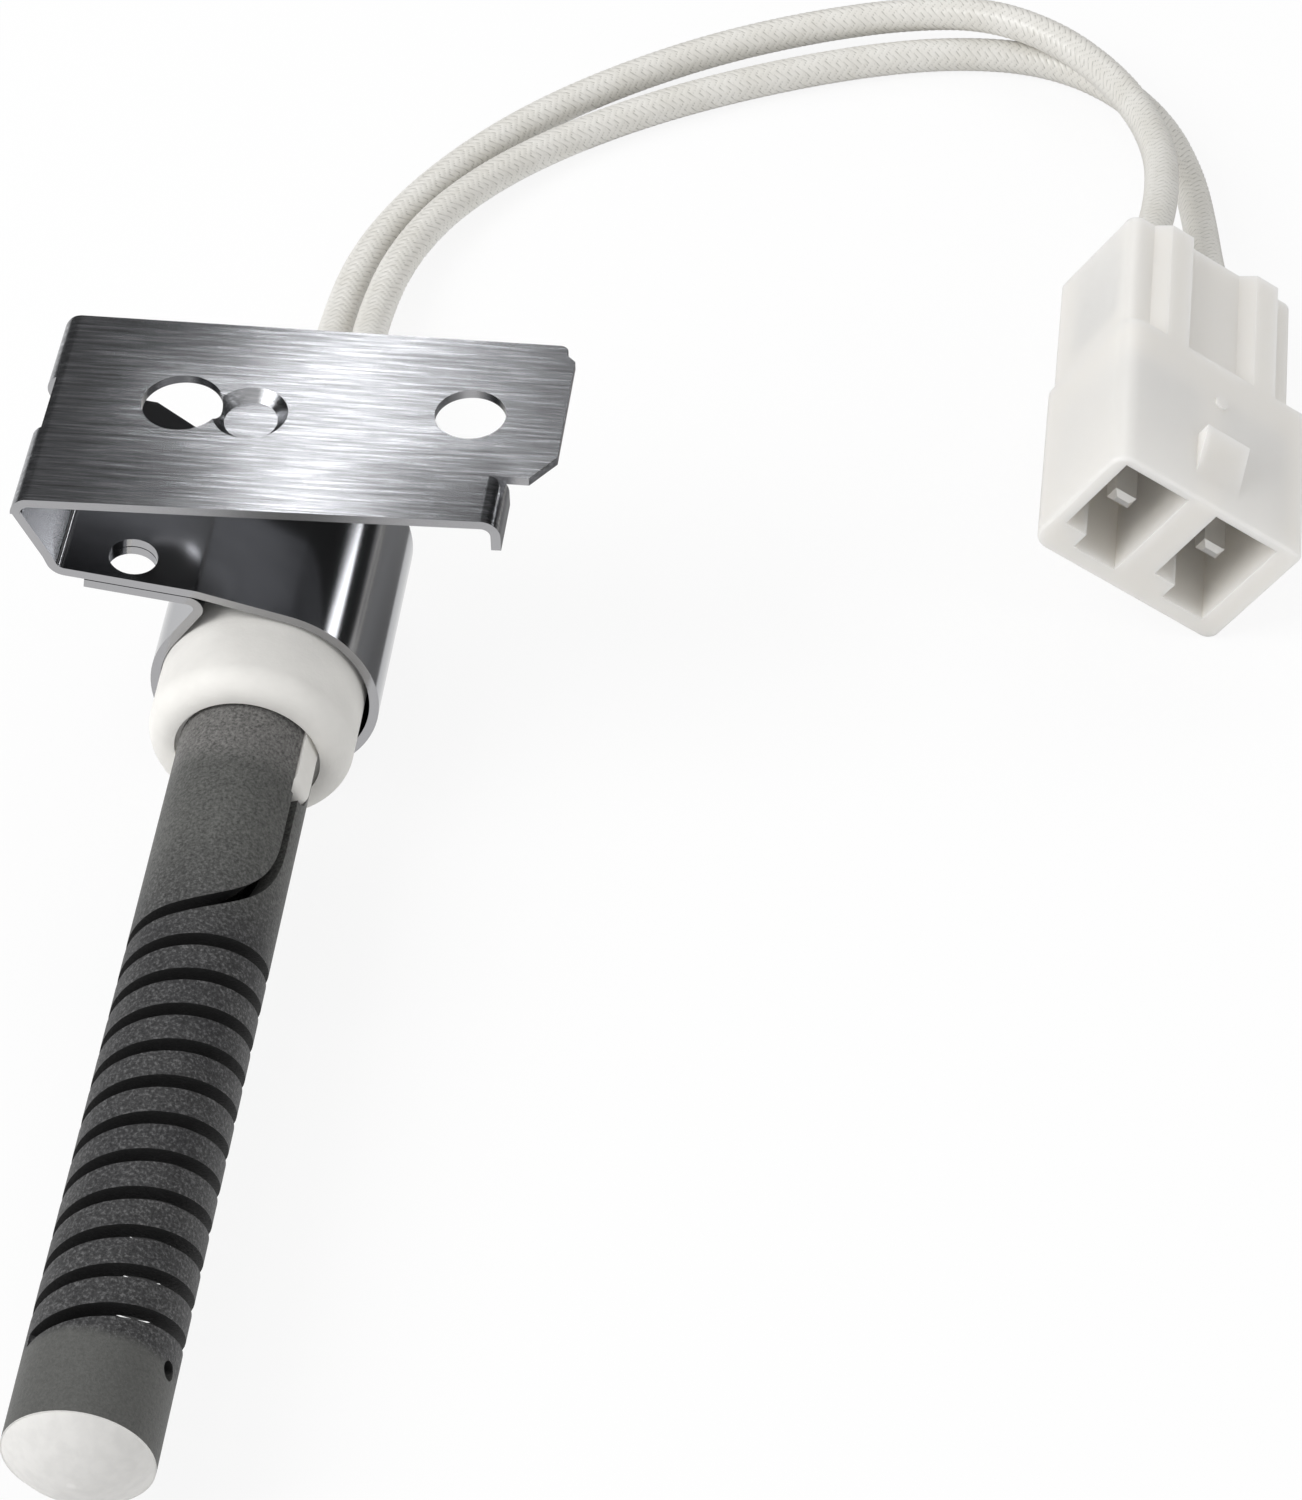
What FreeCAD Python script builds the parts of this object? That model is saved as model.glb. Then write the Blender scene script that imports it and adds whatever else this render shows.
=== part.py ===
# Hot surface igniter: a slotted silicon carbide spiral in a ceramic base, held by a folded
# steel strap bracket, with two braided leads that end in a two-way pin plug.
# The origin is the centre of the bracket's screw hole, on the top face of its plate.
# +Z is the plate's normal and -Y is the way the spiral points.
import FreeCAD, Part
import math
import os

import Sketcher
from FreeCAD import Placement, Rotation, Vector

doc = FreeCAD.newDocument("hot_surface_igniter")
UP = Vector(0, 0, 1)
ALONG = Vector(0, 1, 0)

# Driving dimensions, in millimetres and degrees
SIZES = {
    "tube_from_hole": 18.63,
    "face_from_hole": 21.57,
    "plate_over_tube": 24.12,
    "sheet_thick": 0.9,
    "plate_right": 27.2,
    "plate_front_left": 6.4,
    "plate_front_right": 7.6,
    "plate_back": 31.7,
    "corner_round": 1.8,
    "step_width": 0.8,
    "step_start": 29.6,
    "notch_back": 13.65,
    "notch_left": 21.4,
    "notch_chamfer": 2.2,
    "notch_chamfer_back": 3.0,
    "tab_depth": 3.4,
    "tab_bend": 1.8,
    "wall_bend": 1.8,
    "wall_top_x": -21.5,
    "wall_lean": 16.9,
    "foot_bend": 1.8,
    "leg_slope": 8.4,
    "leg_kink_x": -5.3,
    "leg_kink_bend": 4.0,
    "strap_slope": 16.0,
    "strap_front": 8.0,
    "strap_back": 29.3,
    "relief_left": -13.0,
    "loop_inner": 9.8,
    "loop_shift": 0.25,
    "flange_bend": 1.4,
    "flange_corner_x": -3.6,
    "flange_gap": 0.1,
    "flange_end_x": -15.4,
    "flange_set_back": 1.0,
    "flange_step_x": -6.0,
    "screw_hole": 6.5,
    "access_hole": 7.4,
    "access_from_tube": -7.74,
    "access_back": 20.66,
    "leg_hole": 4.5,
    "leg_hole_from_tube": -11.5,
    "leg_hole_back": 11.0,
    "dimple_from_tube": -1.3,
    "dimple_back": 19.85,
    "dimple_disc": 4.9,
    "dimple_rim": 6.9,
    "dimple_depth": 1.0,
    "window_front": 16.4,
    "window_back": 23.2,
    "window_right": -19.9,
    "window_drop": 3.9,
    "base_width": 19.0,
    "base_long": 35.0,
    "base_round": 2.5,
    "base_rear_round": 0.8,
    "tongue_thick": 3.0,
    "tongue_reach": 6.0,
    "tongue_round": 1.4,
    "element_width": 12.7,
    "element_wall": 1.8,
    "element_reach": 78.1,
    "element_seat": 14.0,
    "cement_thick": 0.4,
    "cement_recess": 0.6,
    "slot_turn": 7.98,
    "slot_width": 1.35,
    "root_slot_width": 1.0,
    "root_slot_angle": 67.0,
    "slot_curve": 11.7,
    "slot_entry": 23.87,
    "slot_entry_angle": 13.7,
    "slot_stop": 69.4,
    "tongue_slot_width": 3.2,
    "tongue_slot_angle": 74.5,
    "tongue_slot_reach": 7.0,
    "tongue_slot_round": 2.0,
    "vent_hole": 1.7,
    "vent_angle": 73.0,
    "vent_from_face": 70.25,
    "plug_dome": 2.7,
    "plug_spigot": 3.2,
    "plug_rim_inset": 0.15,
    "plug_fit": 0.05,
    "seal_thick": 6.0,
    "seal_fit": 0.1,
    "lead_width": 3.6,
    "lead_spread": 3.9,
    "lead_start": 28.0,
    "conductor_width": 1.3,
    "conductor_grip": 6.0,
    "barrel_width": 2.6,
    "barrel_fit": 0.05,
    "clip_thick": 0.4,
    "clip_long": 8.0,
    "clip_span": 56.0,
    "clip_fit": 0.05,
    "tail_width": 2.2,
    "plug_roll": 33.6,
    "plug_face_x": 82.745,
    "plug_face_back": 34.68,
    "plug_height": 1.19,
    "housing_width": 21.6,
    "housing_high": 13.4,
    "housing_under": 1.0,
    "housing_long": 36.5,
    "collar_long": 20.0,
    "collar_side_step": 1.1,
    "collar_top_step": 1.15,
    "back_left_step": 0.6,
    "back_under_step": 0.5,
    "back_edge": 1.2,
    "housing_edge": 1.9,
    "housing_low_edge": 1.3,
    "housing_small_edge": 0.7,
    "housing_mouth_edge": 0.4,
    "rib_width": 2.6,
    "rib_slope": 1.4,
    "cavity_width": 7.2,
    "cavity_high": 11.5,
    "cavity_deep": 15.0,
    "cavity_pitch": 10.5,
    "cavity_shift": -0.55,
    "key_width": 2.4,
    "key_high": 2.0,
    "lead_well": 7.0,
    "lead_well_deep": 13.0,
    "latch_width": 5.0,
    "latch_front": 3.2,
    "latch_long": 5.4,
    "latch_high": 1.6,
    "latch_shift": 0.4,
    "gate_mark": 1.4,
    "gate_mark_high": 0.25,
    "gate_mark_back": 14.6,
    "pin_width": 2.4,
    "pin_high": 1.5,
    "pin_tip_back": 2.3,
    "pin_chamfer": 0.5,
    "pin_long": 12.0,
    "pin_body_width": 4.0,
    "pin_body_high": 3.0,
    "pin_body_long": 8.0,
    "pin_body_fit": 0.1,
}

sheet = doc.addObject("Spreadsheet::Sheet", "sizes")
for row, (word, value) in enumerate(SIZES.items(), start=1):
    sheet.set(f"A{row}", word)
    sheet.set(f"B{row}", str(value))
    sheet.setAlias(f"B{row}", word)
doc.recompute()


def size(word):
    """Give one driving dimension as a plain number."""
    return float(getattr(sheet, word))


def formula(words):
    """Write <size> as a reference to the sheet's cell."""
    return words.replace("<", "sizes.").replace(">", "")


def worth(words):
    """Work a formula of driving dimensions out."""
    return float(sheet.evalExpression(formula(words)))


def bind(thing, prop, words):
    """Tie a property or a sketch dimension to a formula of driving dimensions."""
    thing.setExpression(prop, formula(words))


# Places: round the tube from its axis at the ceramic's face, and in the plug from its open face
def seat_on_tube(thing, along="0"):
    bind(thing, "Placement.Base.x", "-<tube_from_hole>")
    bind(thing, "Placement.Base.y", f"{along} - <face_from_hole>")
    bind(thing, "Placement.Base.z", "-<plate_over_tube>")


def tube_place():
    corner = Vector(-size("tube_from_hole"), -size("face_from_hole"), -size("plate_over_tube"))
    return Placement(corner, Rotation())


def seat_in_plug(thing):
    thing.Placement = Placement(Vector(), Rotation(Vector(0, 1, 0), size("plug_roll")))
    bind(thing, "Placement.Rotation.Angle", "<plug_roll>")
    bind(thing, "Placement.Base.x", "<plug_face_x> - <tube_from_hole>")
    bind(thing, "Placement.Base.y", "<plug_face_back> - <face_from_hole>")
    bind(thing, "Placement.Base.z", "<plug_height> - <plate_over_tube>")


def from_plug(across, back, up):
    """A point of the plug, from the middle of its open face, in the tube's own frame."""
    roll = Rotation(Vector(0, 1, 0), size("plug_roll"))
    face = Vector(size("plug_face_x"), size("plug_face_back"), size("plug_height"))
    return face + roll.multVec(Vector(across, back, up))


# Sketches
def new_body(name):
    body = doc.addObject("PartDesign::Body", name)
    body.Label = name
    return body


def new_sketch(body, name, role, offset="0"):
    """A sketch on one of the body's own planes, set off from it by a formula."""
    sketch = body.newObject("Sketcher::SketchObject", name)
    plane = next(item for item in body.Origin.OriginFeatures if item.Role == role)
    sketch.AttachmentSupport = [(plane, "")]
    sketch.MapMode = "FlatFace"
    bind(sketch, "AttachmentOffset.Base.z", offset)
    return sketch


def free_sketch(name, turn):
    """A sketch of its own, turned from the level plane about the X axis."""
    sketch = doc.addObject("Sketcher::SketchObject", name)
    sketch.Placement = Placement(Vector(), Rotation(Vector(1, 0, 0), turn))
    return sketch


def dimension(sketch, kind, places, words):
    index = sketch.addConstraint(Sketcher.Constraint(kind, *places, worth(words)))
    bind(sketch, f"Constraints[{index}]", words)


def draw_outline(sketch, corners):
    """A closed outline of straight sides, each corner tied to its two formulas."""
    points = [Vector(worth(x), worth(y), 0) for x, y in corners]
    sides = []
    for start, end in zip(points, points[1:] + points[:1]):
        sides.append(sketch.addGeometry(Part.LineSegment(start, end), False))
    for side, following in zip(sides, sides[1:] + sides[:1]):
        sketch.addConstraint(Sketcher.Constraint("Coincident", side, 2, following, 1))
    for side, (x, y) in zip(sides, corners):
        dimension(sketch, "DistanceX", (-1, 1, side, 1), x)
        dimension(sketch, "DistanceY", (-1, 1, side, 1), y)
    return sides


def draw_box(sketch, left, right, bottom, top):
    return draw_outline(sketch, [(left, bottom), (right, bottom), (right, top), (left, top)])


def arc_between(before, corner, after, radius):
    """The arc that rounds a corner, and its two ends along the run."""
    back = (before - corner).normalize()
    on = (after - corner).normalize()
    half = back.getAngle(on) / 2
    centre = corner + (back + on).normalize() * (radius / math.sin(half))
    first = corner + back * (radius / math.tan(half))
    last = corner + on * (radius / math.tan(half))
    turns_left = back.cross(on).z < 0
    low, high = (first, last) if turns_left else (last, first)
    start = math.atan2(low.y - centre.y, low.x - centre.x)
    stop = math.atan2(high.y - centre.y, high.x - centre.x)
    stop += 2 * math.pi if stop < start else 0
    arc = Part.ArcOfCircle(Part.Circle(centre, UP, radius), start, stop)
    return arc, turns_left, first, last


def draw_rounded(sketch, corners):
    """A closed outline whose corners may each have a round: corners are (x, y, radius)."""
    points = [Vector(worth(x), worth(y), 0) for x, y, _ in corners]
    rounds = []
    for number, (_, _, radius) in enumerate(corners):
        corner = points[number]
        after = points[(number + 1) % len(points)]
        if radius:
            arc, turns_left, first, last = arc_between(points[number - 1], corner, after, worth(radius))
            index = sketch.addGeometry(arc, False)
            dimension(sketch, "Radius", (index,), radius)
            ends = (1, 2) if turns_left else (2, 1)
            rounds.append((index, ends, first, last))
        else:
            rounds.append((None, None, corner, corner))
    sides = []
    for start, stop in zip(rounds, rounds[1:] + rounds[:1]):
        sides.append(sketch.addGeometry(Part.LineSegment(start[3], stop[2]), False))
    for number, side in enumerate(sides):
        arc, ends, _, _ = rounds[number]
        if arc is None:
            sketch.addConstraint(Sketcher.Constraint("Coincident", sides[number - 1], 2, side, 1))
        else:
            sketch.addConstraint(Sketcher.Constraint("Tangent", sides[number - 1], 2, arc, ends[0]))
            sketch.addConstraint(Sketcher.Constraint("Tangent", arc, ends[1], side, 1))
        x, y, _ = corners[number]
        run = points[(number + 1) % len(points)] - points[number]
        if abs(run.y) < 1e-9:
            sketch.addConstraint(Sketcher.Constraint("Horizontal", side))
            dimension(sketch, "DistanceY", (-1, 1, side, 1), y)
        elif abs(run.x) < 1e-9:
            sketch.addConstraint(Sketcher.Constraint("Vertical", side))
            dimension(sketch, "DistanceX", (-1, 1, side, 1), x)
        else:
            dimension(sketch, "DistanceX", (-1, 1, side, 1), x)
            dimension(sketch, "DistanceX", (-1, 1, side, 2), corners[(number + 1) % len(points)][0])


def draw_circle(sketch, across, up, radius):
    centre = Vector(worth(across), worth(up), 0)
    ring = sketch.addGeometry(Part.Circle(centre, Vector(0, 0, 1), worth(radius)), False)
    dimension(sketch, "Radius", (ring,), radius)
    dimension(sketch, "DistanceX", (-1, 1, ring, 3), across)
    dimension(sketch, "DistanceY", (-1, 1, ring, 3), up)


def pad(body, name, sketch, length, reverse=False):
    feature = body.newObject("PartDesign::Pad", name)
    feature.Profile = sketch
    feature.Reversed = reverse
    bind(feature, "Length", length)
    doc.recompute()
    return feature


def pocket(body, name, sketch, length, reverse=False):
    """Cut a sketch into the body, and stop if the cut takes nothing away."""
    before = body.Shape.Volume
    feature = body.newObject("PartDesign::Pocket", name)
    feature.Profile = sketch
    feature.Reversed = reverse
    bind(feature, "Length", length)
    doc.recompute()
    if not body.Shape.Volume < before:
        raise ValueError(f"{name} cuts nothing")
    return feature


def edges_where(shape, test):
    """Names of the edges whose middle and direction pass a test."""
    names = []
    for number, edge in enumerate(shape.Edges, start=1):
        middle = edge.valueAt((edge.FirstParameter + edge.LastParameter) / 2)
        if test(edge, middle):
            names.append(f"Edge{number}")
    return names


def round_edges(body, name, radius, test, kind="Fillet"):
    base = body.Tip
    feature = body.newObject(f"PartDesign::{kind}", name)
    feature.Base = (base, edges_where(base.Shape, test))
    bind(feature, "Radius" if kind == "Fillet" else "Size", radius)
    doc.recompute()
    return feature


def turn_up(body, name, sketch):
    """Turn a sketch about its own upright axis."""
    feature = body.newObject("PartDesign::Revolution", name)
    feature.Profile = sketch
    feature.ReferenceAxis = (sketch, ["V_Axis"])
    feature.Angle = 360
    doc.recompute()
    return feature


# Part tools
def extrude(name, profile, direction, length, start="0"):
    solid = doc.addObject("Part::Extrusion", name)
    solid.Base = profile
    solid.DirMode = "Custom"
    solid.Dir = direction
    bind(solid, "LengthFwd", length)
    bind(solid, "LengthRev", f"-({start})")
    solid.Solid = True
    return solid


def fuse(name, *pieces):
    joined = doc.addObject("Part::MultiFuse", name)
    joined.Shapes = list(pieces)
    return joined


def cut(name, base, tool):
    rest = doc.addObject("Part::Cut", name)
    rest.Base = base
    rest.Tool = tool
    return rest


def drill(name, radius, height, x, y, z):
    """An upright cylinder at a place given by formulas."""
    tool = doc.addObject("Part::Cylinder", name)
    bind(tool, "Radius", radius)
    bind(tool, "Height", height)
    for axis, words in zip("xyz", (x, y, z)):
        bind(tool, f"Placement.Base.{axis}", words)
    return tool



# The bracket is one strip of sheet: plate, wall, leg, clamp loop and flange. Its section is
# drawn along the side that faces out of the folds, and thickened inwards.
CLEAR = "100"


def slope_of(degrees):
    return math.tan(math.radians(degrees))


def crossing(point, slope, other, other_slope):
    """Where two lines, each through a point at a slope, cross."""
    run = (other.y - point.y + slope * point.x - other_slope * other.x) / (slope - other_slope)
    return Vector(run, point.y + slope * (run - point.x), 0)


def strip_section():
    """The strip's outer side as one run of lines and arcs that touch."""
    sketch = free_sketch("strip_section", 90)
    plate_end = Vector(size("plate_right"), size("plate_over_tube"), 0)
    wall_top = Vector(size("wall_top_x"), plate_end.y, 0)
    loop_centre = Vector(size("loop_shift"), 0, 0)
    lean = math.radians(size("strap_slope"))
    loop_start = loop_centre + Vector(math.sin(lean), math.cos(lean), 0) * size("loop_inner")
    kink_x = size("leg_kink_x")
    rise = (loop_start.x - kink_x) * slope_of(size("strap_slope"))
    kink = Vector(kink_x, loop_start.y + rise, 0)
    leg_slope = -slope_of(size("leg_slope"))
    foot = crossing(wall_top, -1 / slope_of(size("wall_lean")), kink, leg_slope)

    under_leg = kink - Vector(0, size("flange_gap") / math.cos(math.radians(size("leg_slope"))), 0)
    corner_x = size("flange_corner_x")
    fold = Vector(corner_x, under_leg.y + leg_slope * (corner_x - kink_x), 0)
    end_x = size("flange_end_x")
    flange_end = Vector(end_x, under_leg.y + leg_slope * (end_x - kink_x), 0)
    reach = fold - loop_centre
    turn = math.atan2(reach.x, reach.y) - math.acos(size("loop_inner") / reach.Length)
    loop_stop = loop_centre + Vector(math.sin(turn), math.cos(turn), 0) * size("loop_inner")

    corners = [plate_end, wall_top, foot, kink, loop_start]
    bends = ["<wall_bend>", "<foot_bend>", "<leg_kink_bend>"]
    run = []
    previous = corners[0]
    for before, corner, after, bend in zip(corners, corners[1:], corners[2:], bends):
        arc, turns_left, first, last = arc_between(before, corner, after, worth(bend))
        run.append((Part.LineSegment(previous, first), True, None))
        run.append((arc, turns_left, bend))
        previous = last
    run.append((Part.LineSegment(previous, loop_start), True, None))
    loop = Part.Circle(loop_centre, UP, size("loop_inner"))
    quarter = math.pi / 2
    loop_arc = Part.ArcOfCircle(loop, quarter - turn, 5 * quarter - lean)
    run.append((loop_arc, False, "<loop_inner>"))
    arc, turns_left, first, last = arc_between(loop_stop, fold, flange_end, size("flange_bend"))
    run.append((Part.LineSegment(loop_stop, first), True, None))
    run.append((arc, turns_left, "<flange_bend>"))
    run.append((Part.LineSegment(last, flange_end), True, None))

    pieces = []
    for shape, forward, bend in run:
        index = sketch.addGeometry(shape, False)
        pieces.append((index, 1 if forward else 2, 2 if forward else 1))
        if bend:
            dimension(sketch, "Radius", (index,), bend)
        if bend == "<loop_inner>":
            dimension(sketch, "DistanceX", (-1, 1, index, 3), "<loop_shift>")
    for (index, _, last), (following, first, _) in zip(pieces, pieces[1:]):
        sketch.addConstraint(Sketcher.Constraint("Tangent", index, last, following, first))
    plate = pieces[0][0]
    sketch.addConstraint(Sketcher.Constraint("Horizontal", plate))
    dimension(sketch, "DistanceX", (-1, 1, plate, 1), "<plate_right>")
    dimension(sketch, "DistanceY", (-1, 1, plate, 1), "<plate_over_tube>")
    dimension(sketch, "DistanceX", (-1, 1, pieces[-1][0], 2), "<flange_end_x>")
    return sketch


def thicken(name, sketch, inwards):
    section = doc.addObject("Part::Offset2D", name)
    section.Source = sketch
    section.Mode = "Skin"
    section.Fill = True
    bind(section, "Value", inwards)
    return section


def tool_prism(name, corners, turn, direction, length, start="0"):
    """A straight prism on an outline whose corners are formulas."""
    sketch = free_sketch(f"{name}_outline", turn)
    draw_outline(sketch, corners)
    return extrude(name, sketch, direction, length, start)


def make_bracket():
    strip = extrude(
        "strip", thicken("strip_sheet", strip_section(), "<sheet_thick>"), ALONG,
        "<plate_back>", "<plate_front_left> - 2",
    )
    # The corner that is cut out, and the tab that is bent down beside it
    notch = tool_prism(
        "tab_gap",
        [("<notch_left>", "0"), (CLEAR, "0"), (CLEAR, "<notch_back>"), ("<notch_left>", "<notch_back>")],
        0, UP, CLEAR,
    )
    tab_section = free_sketch("tab_section", 90)
    left = size("notch_left")
    top = size("plate_over_tube")
    bend = size("tab_bend")
    middle = Vector(left, top - bend, 0)
    arc = Part.ArcOfCircle(Part.Circle(middle, UP, bend), 0, math.pi / 2)
    foot = middle + Vector(bend, 0, 0)
    bent = tab_section.addGeometry(arc, False)
    down = tab_section.addGeometry(
        Part.LineSegment(foot, Vector(foot.x, top - size("tab_depth"), 0)), False
    )
    tab_section.addConstraint(Sketcher.Constraint("Tangent", bent, 1, down, 1))
    dimension(tab_section, "Radius", (bent,), "<tab_bend>")
    dimension(tab_section, "DistanceX", (-1, 1, bent, 2), "<notch_left>")
    dimension(tab_section, "DistanceY", (-1, 1, bent, 2), "<plate_over_tube>")
    dimension(tab_section, "DistanceY", (-1, 1, down, 2), "<plate_over_tube> - <tab_depth>")
    tab = extrude(
        "tab", thicken("tab_sheet", tab_section, "<sheet_thick>"), ALONG,
        "<notch_back>", "<plate_front_left> - 2",
    )
    folded = fuse("folded_strip", cut("notched_strip", strip, notch), tab)

    # The blank's plan: a front edge a little out of square, a chamfer, a step and round corners
    front = "<plate_front_left> + (<plate_front_right> - <plate_front_left>) * {} / 42"
    plan = new_body("plan_of_blank")
    outline = new_sketch(plan, "plan_outline", "XY_Plane")
    draw_outline(outline, [
        ("<wall_top_x> - 4", front.format("-3")),
        ("<notch_left> + <tab_bend>", front.format("44")),
        ("<notch_left> + <tab_bend>", "<notch_back>"),
        ("<plate_right> - <notch_chamfer>", "<notch_back>"),
        ("<plate_right>", "<notch_back> + <notch_chamfer_back>"),
        ("<plate_right>", "<step_start>"),
        ("<plate_right> - <step_width>", "<step_start> + <step_width>"),
        ("<plate_right> - <step_width>", "<plate_back>"),
        ("<wall_top_x>", "<plate_back>"),
        ("<wall_top_x>", "<plate_back> - <corner_round> * 2"),
        ("<wall_top_x> - 4", "<plate_back> - <corner_round> * 2"),
    ])
    pad(plan, "plan_height", outline, "4 * <plate_over_tube>")
    plan.Tip.Midplane = True
    doc.recompute()
    back = size("plate_back") - 0.01
    left_corner = size("wall_top_x")
    right_corner = size("plate_right") - size("step_width")

    def at_back_corner(edge, middle):
        upright = abs(edge.tangentAt(edge.FirstParameter).z) > 0.99
        return upright and middle.y > back and abs(middle.x - left_corner) < 0.01

    def at_right_corner(edge, middle):
        upright = abs(edge.tangentAt(edge.FirstParameter).z) > 0.99
        return upright and middle.y > back and abs(middle.x - right_corner) < 0.01

    round_edges(plan, "left_corner_round", "<corner_round>", at_back_corner)
    round_edges(plan, "right_corner_round", "<step_width>", at_right_corner)
    trimmed = doc.addObject("Part::Common", "trimmed_strip")
    trimmed.Base = folded
    trimmed.Tool = plan

    # Below the plate the strap is narrower than the blank, at the front and at the back
    front_relief = tool_prism(
        "front_relief",
        [("<plate_front_left> - 4", "<plate_over_tube> - <sheet_thick> * 2"),
         ("<plate_front_left> + 0.4", "<plate_over_tube> - <sheet_thick> * 2"),
         ("<strap_front>", "<plate_over_tube> * 0.65"),
         ("<strap_front>", "-<plate_over_tube>"),
         ("<plate_front_left> - 4", "-<plate_over_tube>")],
        90, Vector(1, 0, 0), CLEAR, "-100",
    )
    front_relief.Base.Placement = Placement(Vector(), Rotation(UP, 90) * Rotation(Vector(1, 0, 0), 90))
    bind(front_relief, "LengthFwd", "<notch_left> - 4")
    back_relief = tool_prism(
        "back_relief",
        [("<relief_left>", "<plate_back> + 1"),
         ("<relief_left>", "<plate_back>"),
         ("<relief_left> + 4", "<strap_back>"),
         ("<plate_right>", "<strap_back>"),
         ("<plate_right>", "<plate_back> + 1")],
        0, UP, "<plate_over_tube> * 0.75", "-<plate_over_tube>",
    )
    window = tool_prism(
        "bend_window",
        [("<wall_top_x> - 4", "<window_front>"), ("<window_right>", "<window_front>"),
         ("<window_right>", "<window_back>"), ("<wall_top_x> - 4", "<window_back>")],
        0, UP, CLEAR, "<plate_over_tube> - <window_drop>",
    )

    # Under the leg, the flange stands back from the strap's front edge
    outer_x = "<flange_end_x> - 1"
    flange_step = tool_prism(
        "flange_step",
        [(outer_x, f"{leg_height(outer_x)} - <flange_gap> / 2"),
         ("<flange_step_x>", f"{leg_height('<flange_step_x>')} - <flange_gap> / 2"),
         ("<flange_step_x>", f"{leg_height('<flange_step_x>')} - 3 * <sheet_thick>"),
         (outer_x, f"{leg_height(outer_x)} - 3 * <sheet_thick>")],
        90, ALONG, "<flange_set_back> + 1", "<strap_front> - 1",
    )

    # Holes through the plate, and one through the leg and the flange below it
    above = "<plate_over_tube> - 3 * <sheet_thick>"
    screw_hole = drill(
        "screw_hole", "<screw_hole> / 2", "6 * <sheet_thick>",
        "<tube_from_hole>", "<face_from_hole>", above,
    )
    access_hole = drill(
        "access_hole", "<access_hole> / 2", "6 * <sheet_thick>",
        "<access_from_tube>", "<access_back>", above,
    )
    leg_hole = drill("leg_hole", "<leg_hole> / 2", "8 * <sheet_thick>", "0", "0", "0")
    leg_hole.Placement.Rotation = Rotation(Vector(0, 1, 0), size("leg_slope"))
    bind(leg_hole, "Placement.Rotation.Angle", "<leg_slope>")
    below = "4 * <sheet_thick>"
    bind(leg_hole, "Placement.Base.x", f"<leg_hole_from_tube> - {below} * sin(<leg_slope> * 1deg)")
    bind(leg_hole, "Placement.Base.y", "<leg_hole_back>")
    drop = f"{below} * cos(<leg_slope> * 1deg)"
    bind(leg_hole, "Placement.Base.z", f"{leg_height('<leg_hole_from_tube>')} - {drop}")
    holes = fuse(
        "bracket_cuts", front_relief, back_relief, window, flange_step, screw_hole, access_hole,
        leg_hole,
    )

    # The pressed dimple: a flat-bottomed cup whose wall stands out below the plate
    cup = dimple_cone(
        "dimple_cup", "<dimple_rim> / 2", "<sheet_thick> / 2",
        "<dimple_disc> / 2 + <sheet_thick> / 2", "<dimple_depth> + <sheet_thick> * 0.85",
    )
    hollow = dimple_cone(
        "dimple_hollow", "<dimple_rim> - <dimple_disc> / 2", "-<dimple_depth>",
        "<dimple_disc> / 2", "<dimple_depth>",
    )
    pressed = cut("pressed_strip", fuse("cupped_strip", trimmed, cup), hollow)
    bracket = cut("bracket", pressed, holes)
    seat_on_tube(bracket)
    return bracket


def leg_height(across):
    """The leg's under side above the tube's axis, as far across as a formula says."""
    loop_height = "<loop_inner> * cos(<strap_slope> * 1deg)"
    loop_reach = "(<loop_shift> + <loop_inner> * sin(<strap_slope> * 1deg) - <leg_kink_x>)"
    kink = f"{loop_height} + {loop_reach} * tan(<strap_slope> * 1deg)"
    return f"{kink} + (<leg_kink_x> - ({across})) * tan(<leg_slope> * 1deg)"


def dimple_cone(name, top_radius, top_depth, foot_radius, foot_depth):
    """A cone under the dimple's centre, between two depths below the plate's top face."""
    cone = doc.addObject("Part::Cone", name)
    bind(cone, "Radius1", foot_radius)
    bind(cone, "Radius2", top_radius)
    bind(cone, "Height", f"{foot_depth} - ({top_depth})")
    bind(cone, "Placement.Base.x", "<dimple_from_tube>")
    bind(cone, "Placement.Base.y", "<dimple_back>")
    bind(cone, "Placement.Base.z", f"<plate_over_tube> - ({foot_depth})")
    return cone


# Pieces round the tube's axis are turned or drawn in a frame whose Z runs out along the tube
OUTWARDS = Rotation(Vector(1, 0, 0), 90)


def face_outwards(thing):
    """Turn a sub-part that is drawn with the tube along Z, and seat it."""
    thing.Placement = Placement(Vector(), OUTWARDS)
    seat_on_tube(thing)


def along_tube(angle, radius, reach):
    """A point at an angle round the tube from the top, in the frame drawn along Z."""
    turn = math.radians(90 - angle)
    return Vector(radius * math.cos(turn), radius * math.sin(turn), reach)


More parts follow.
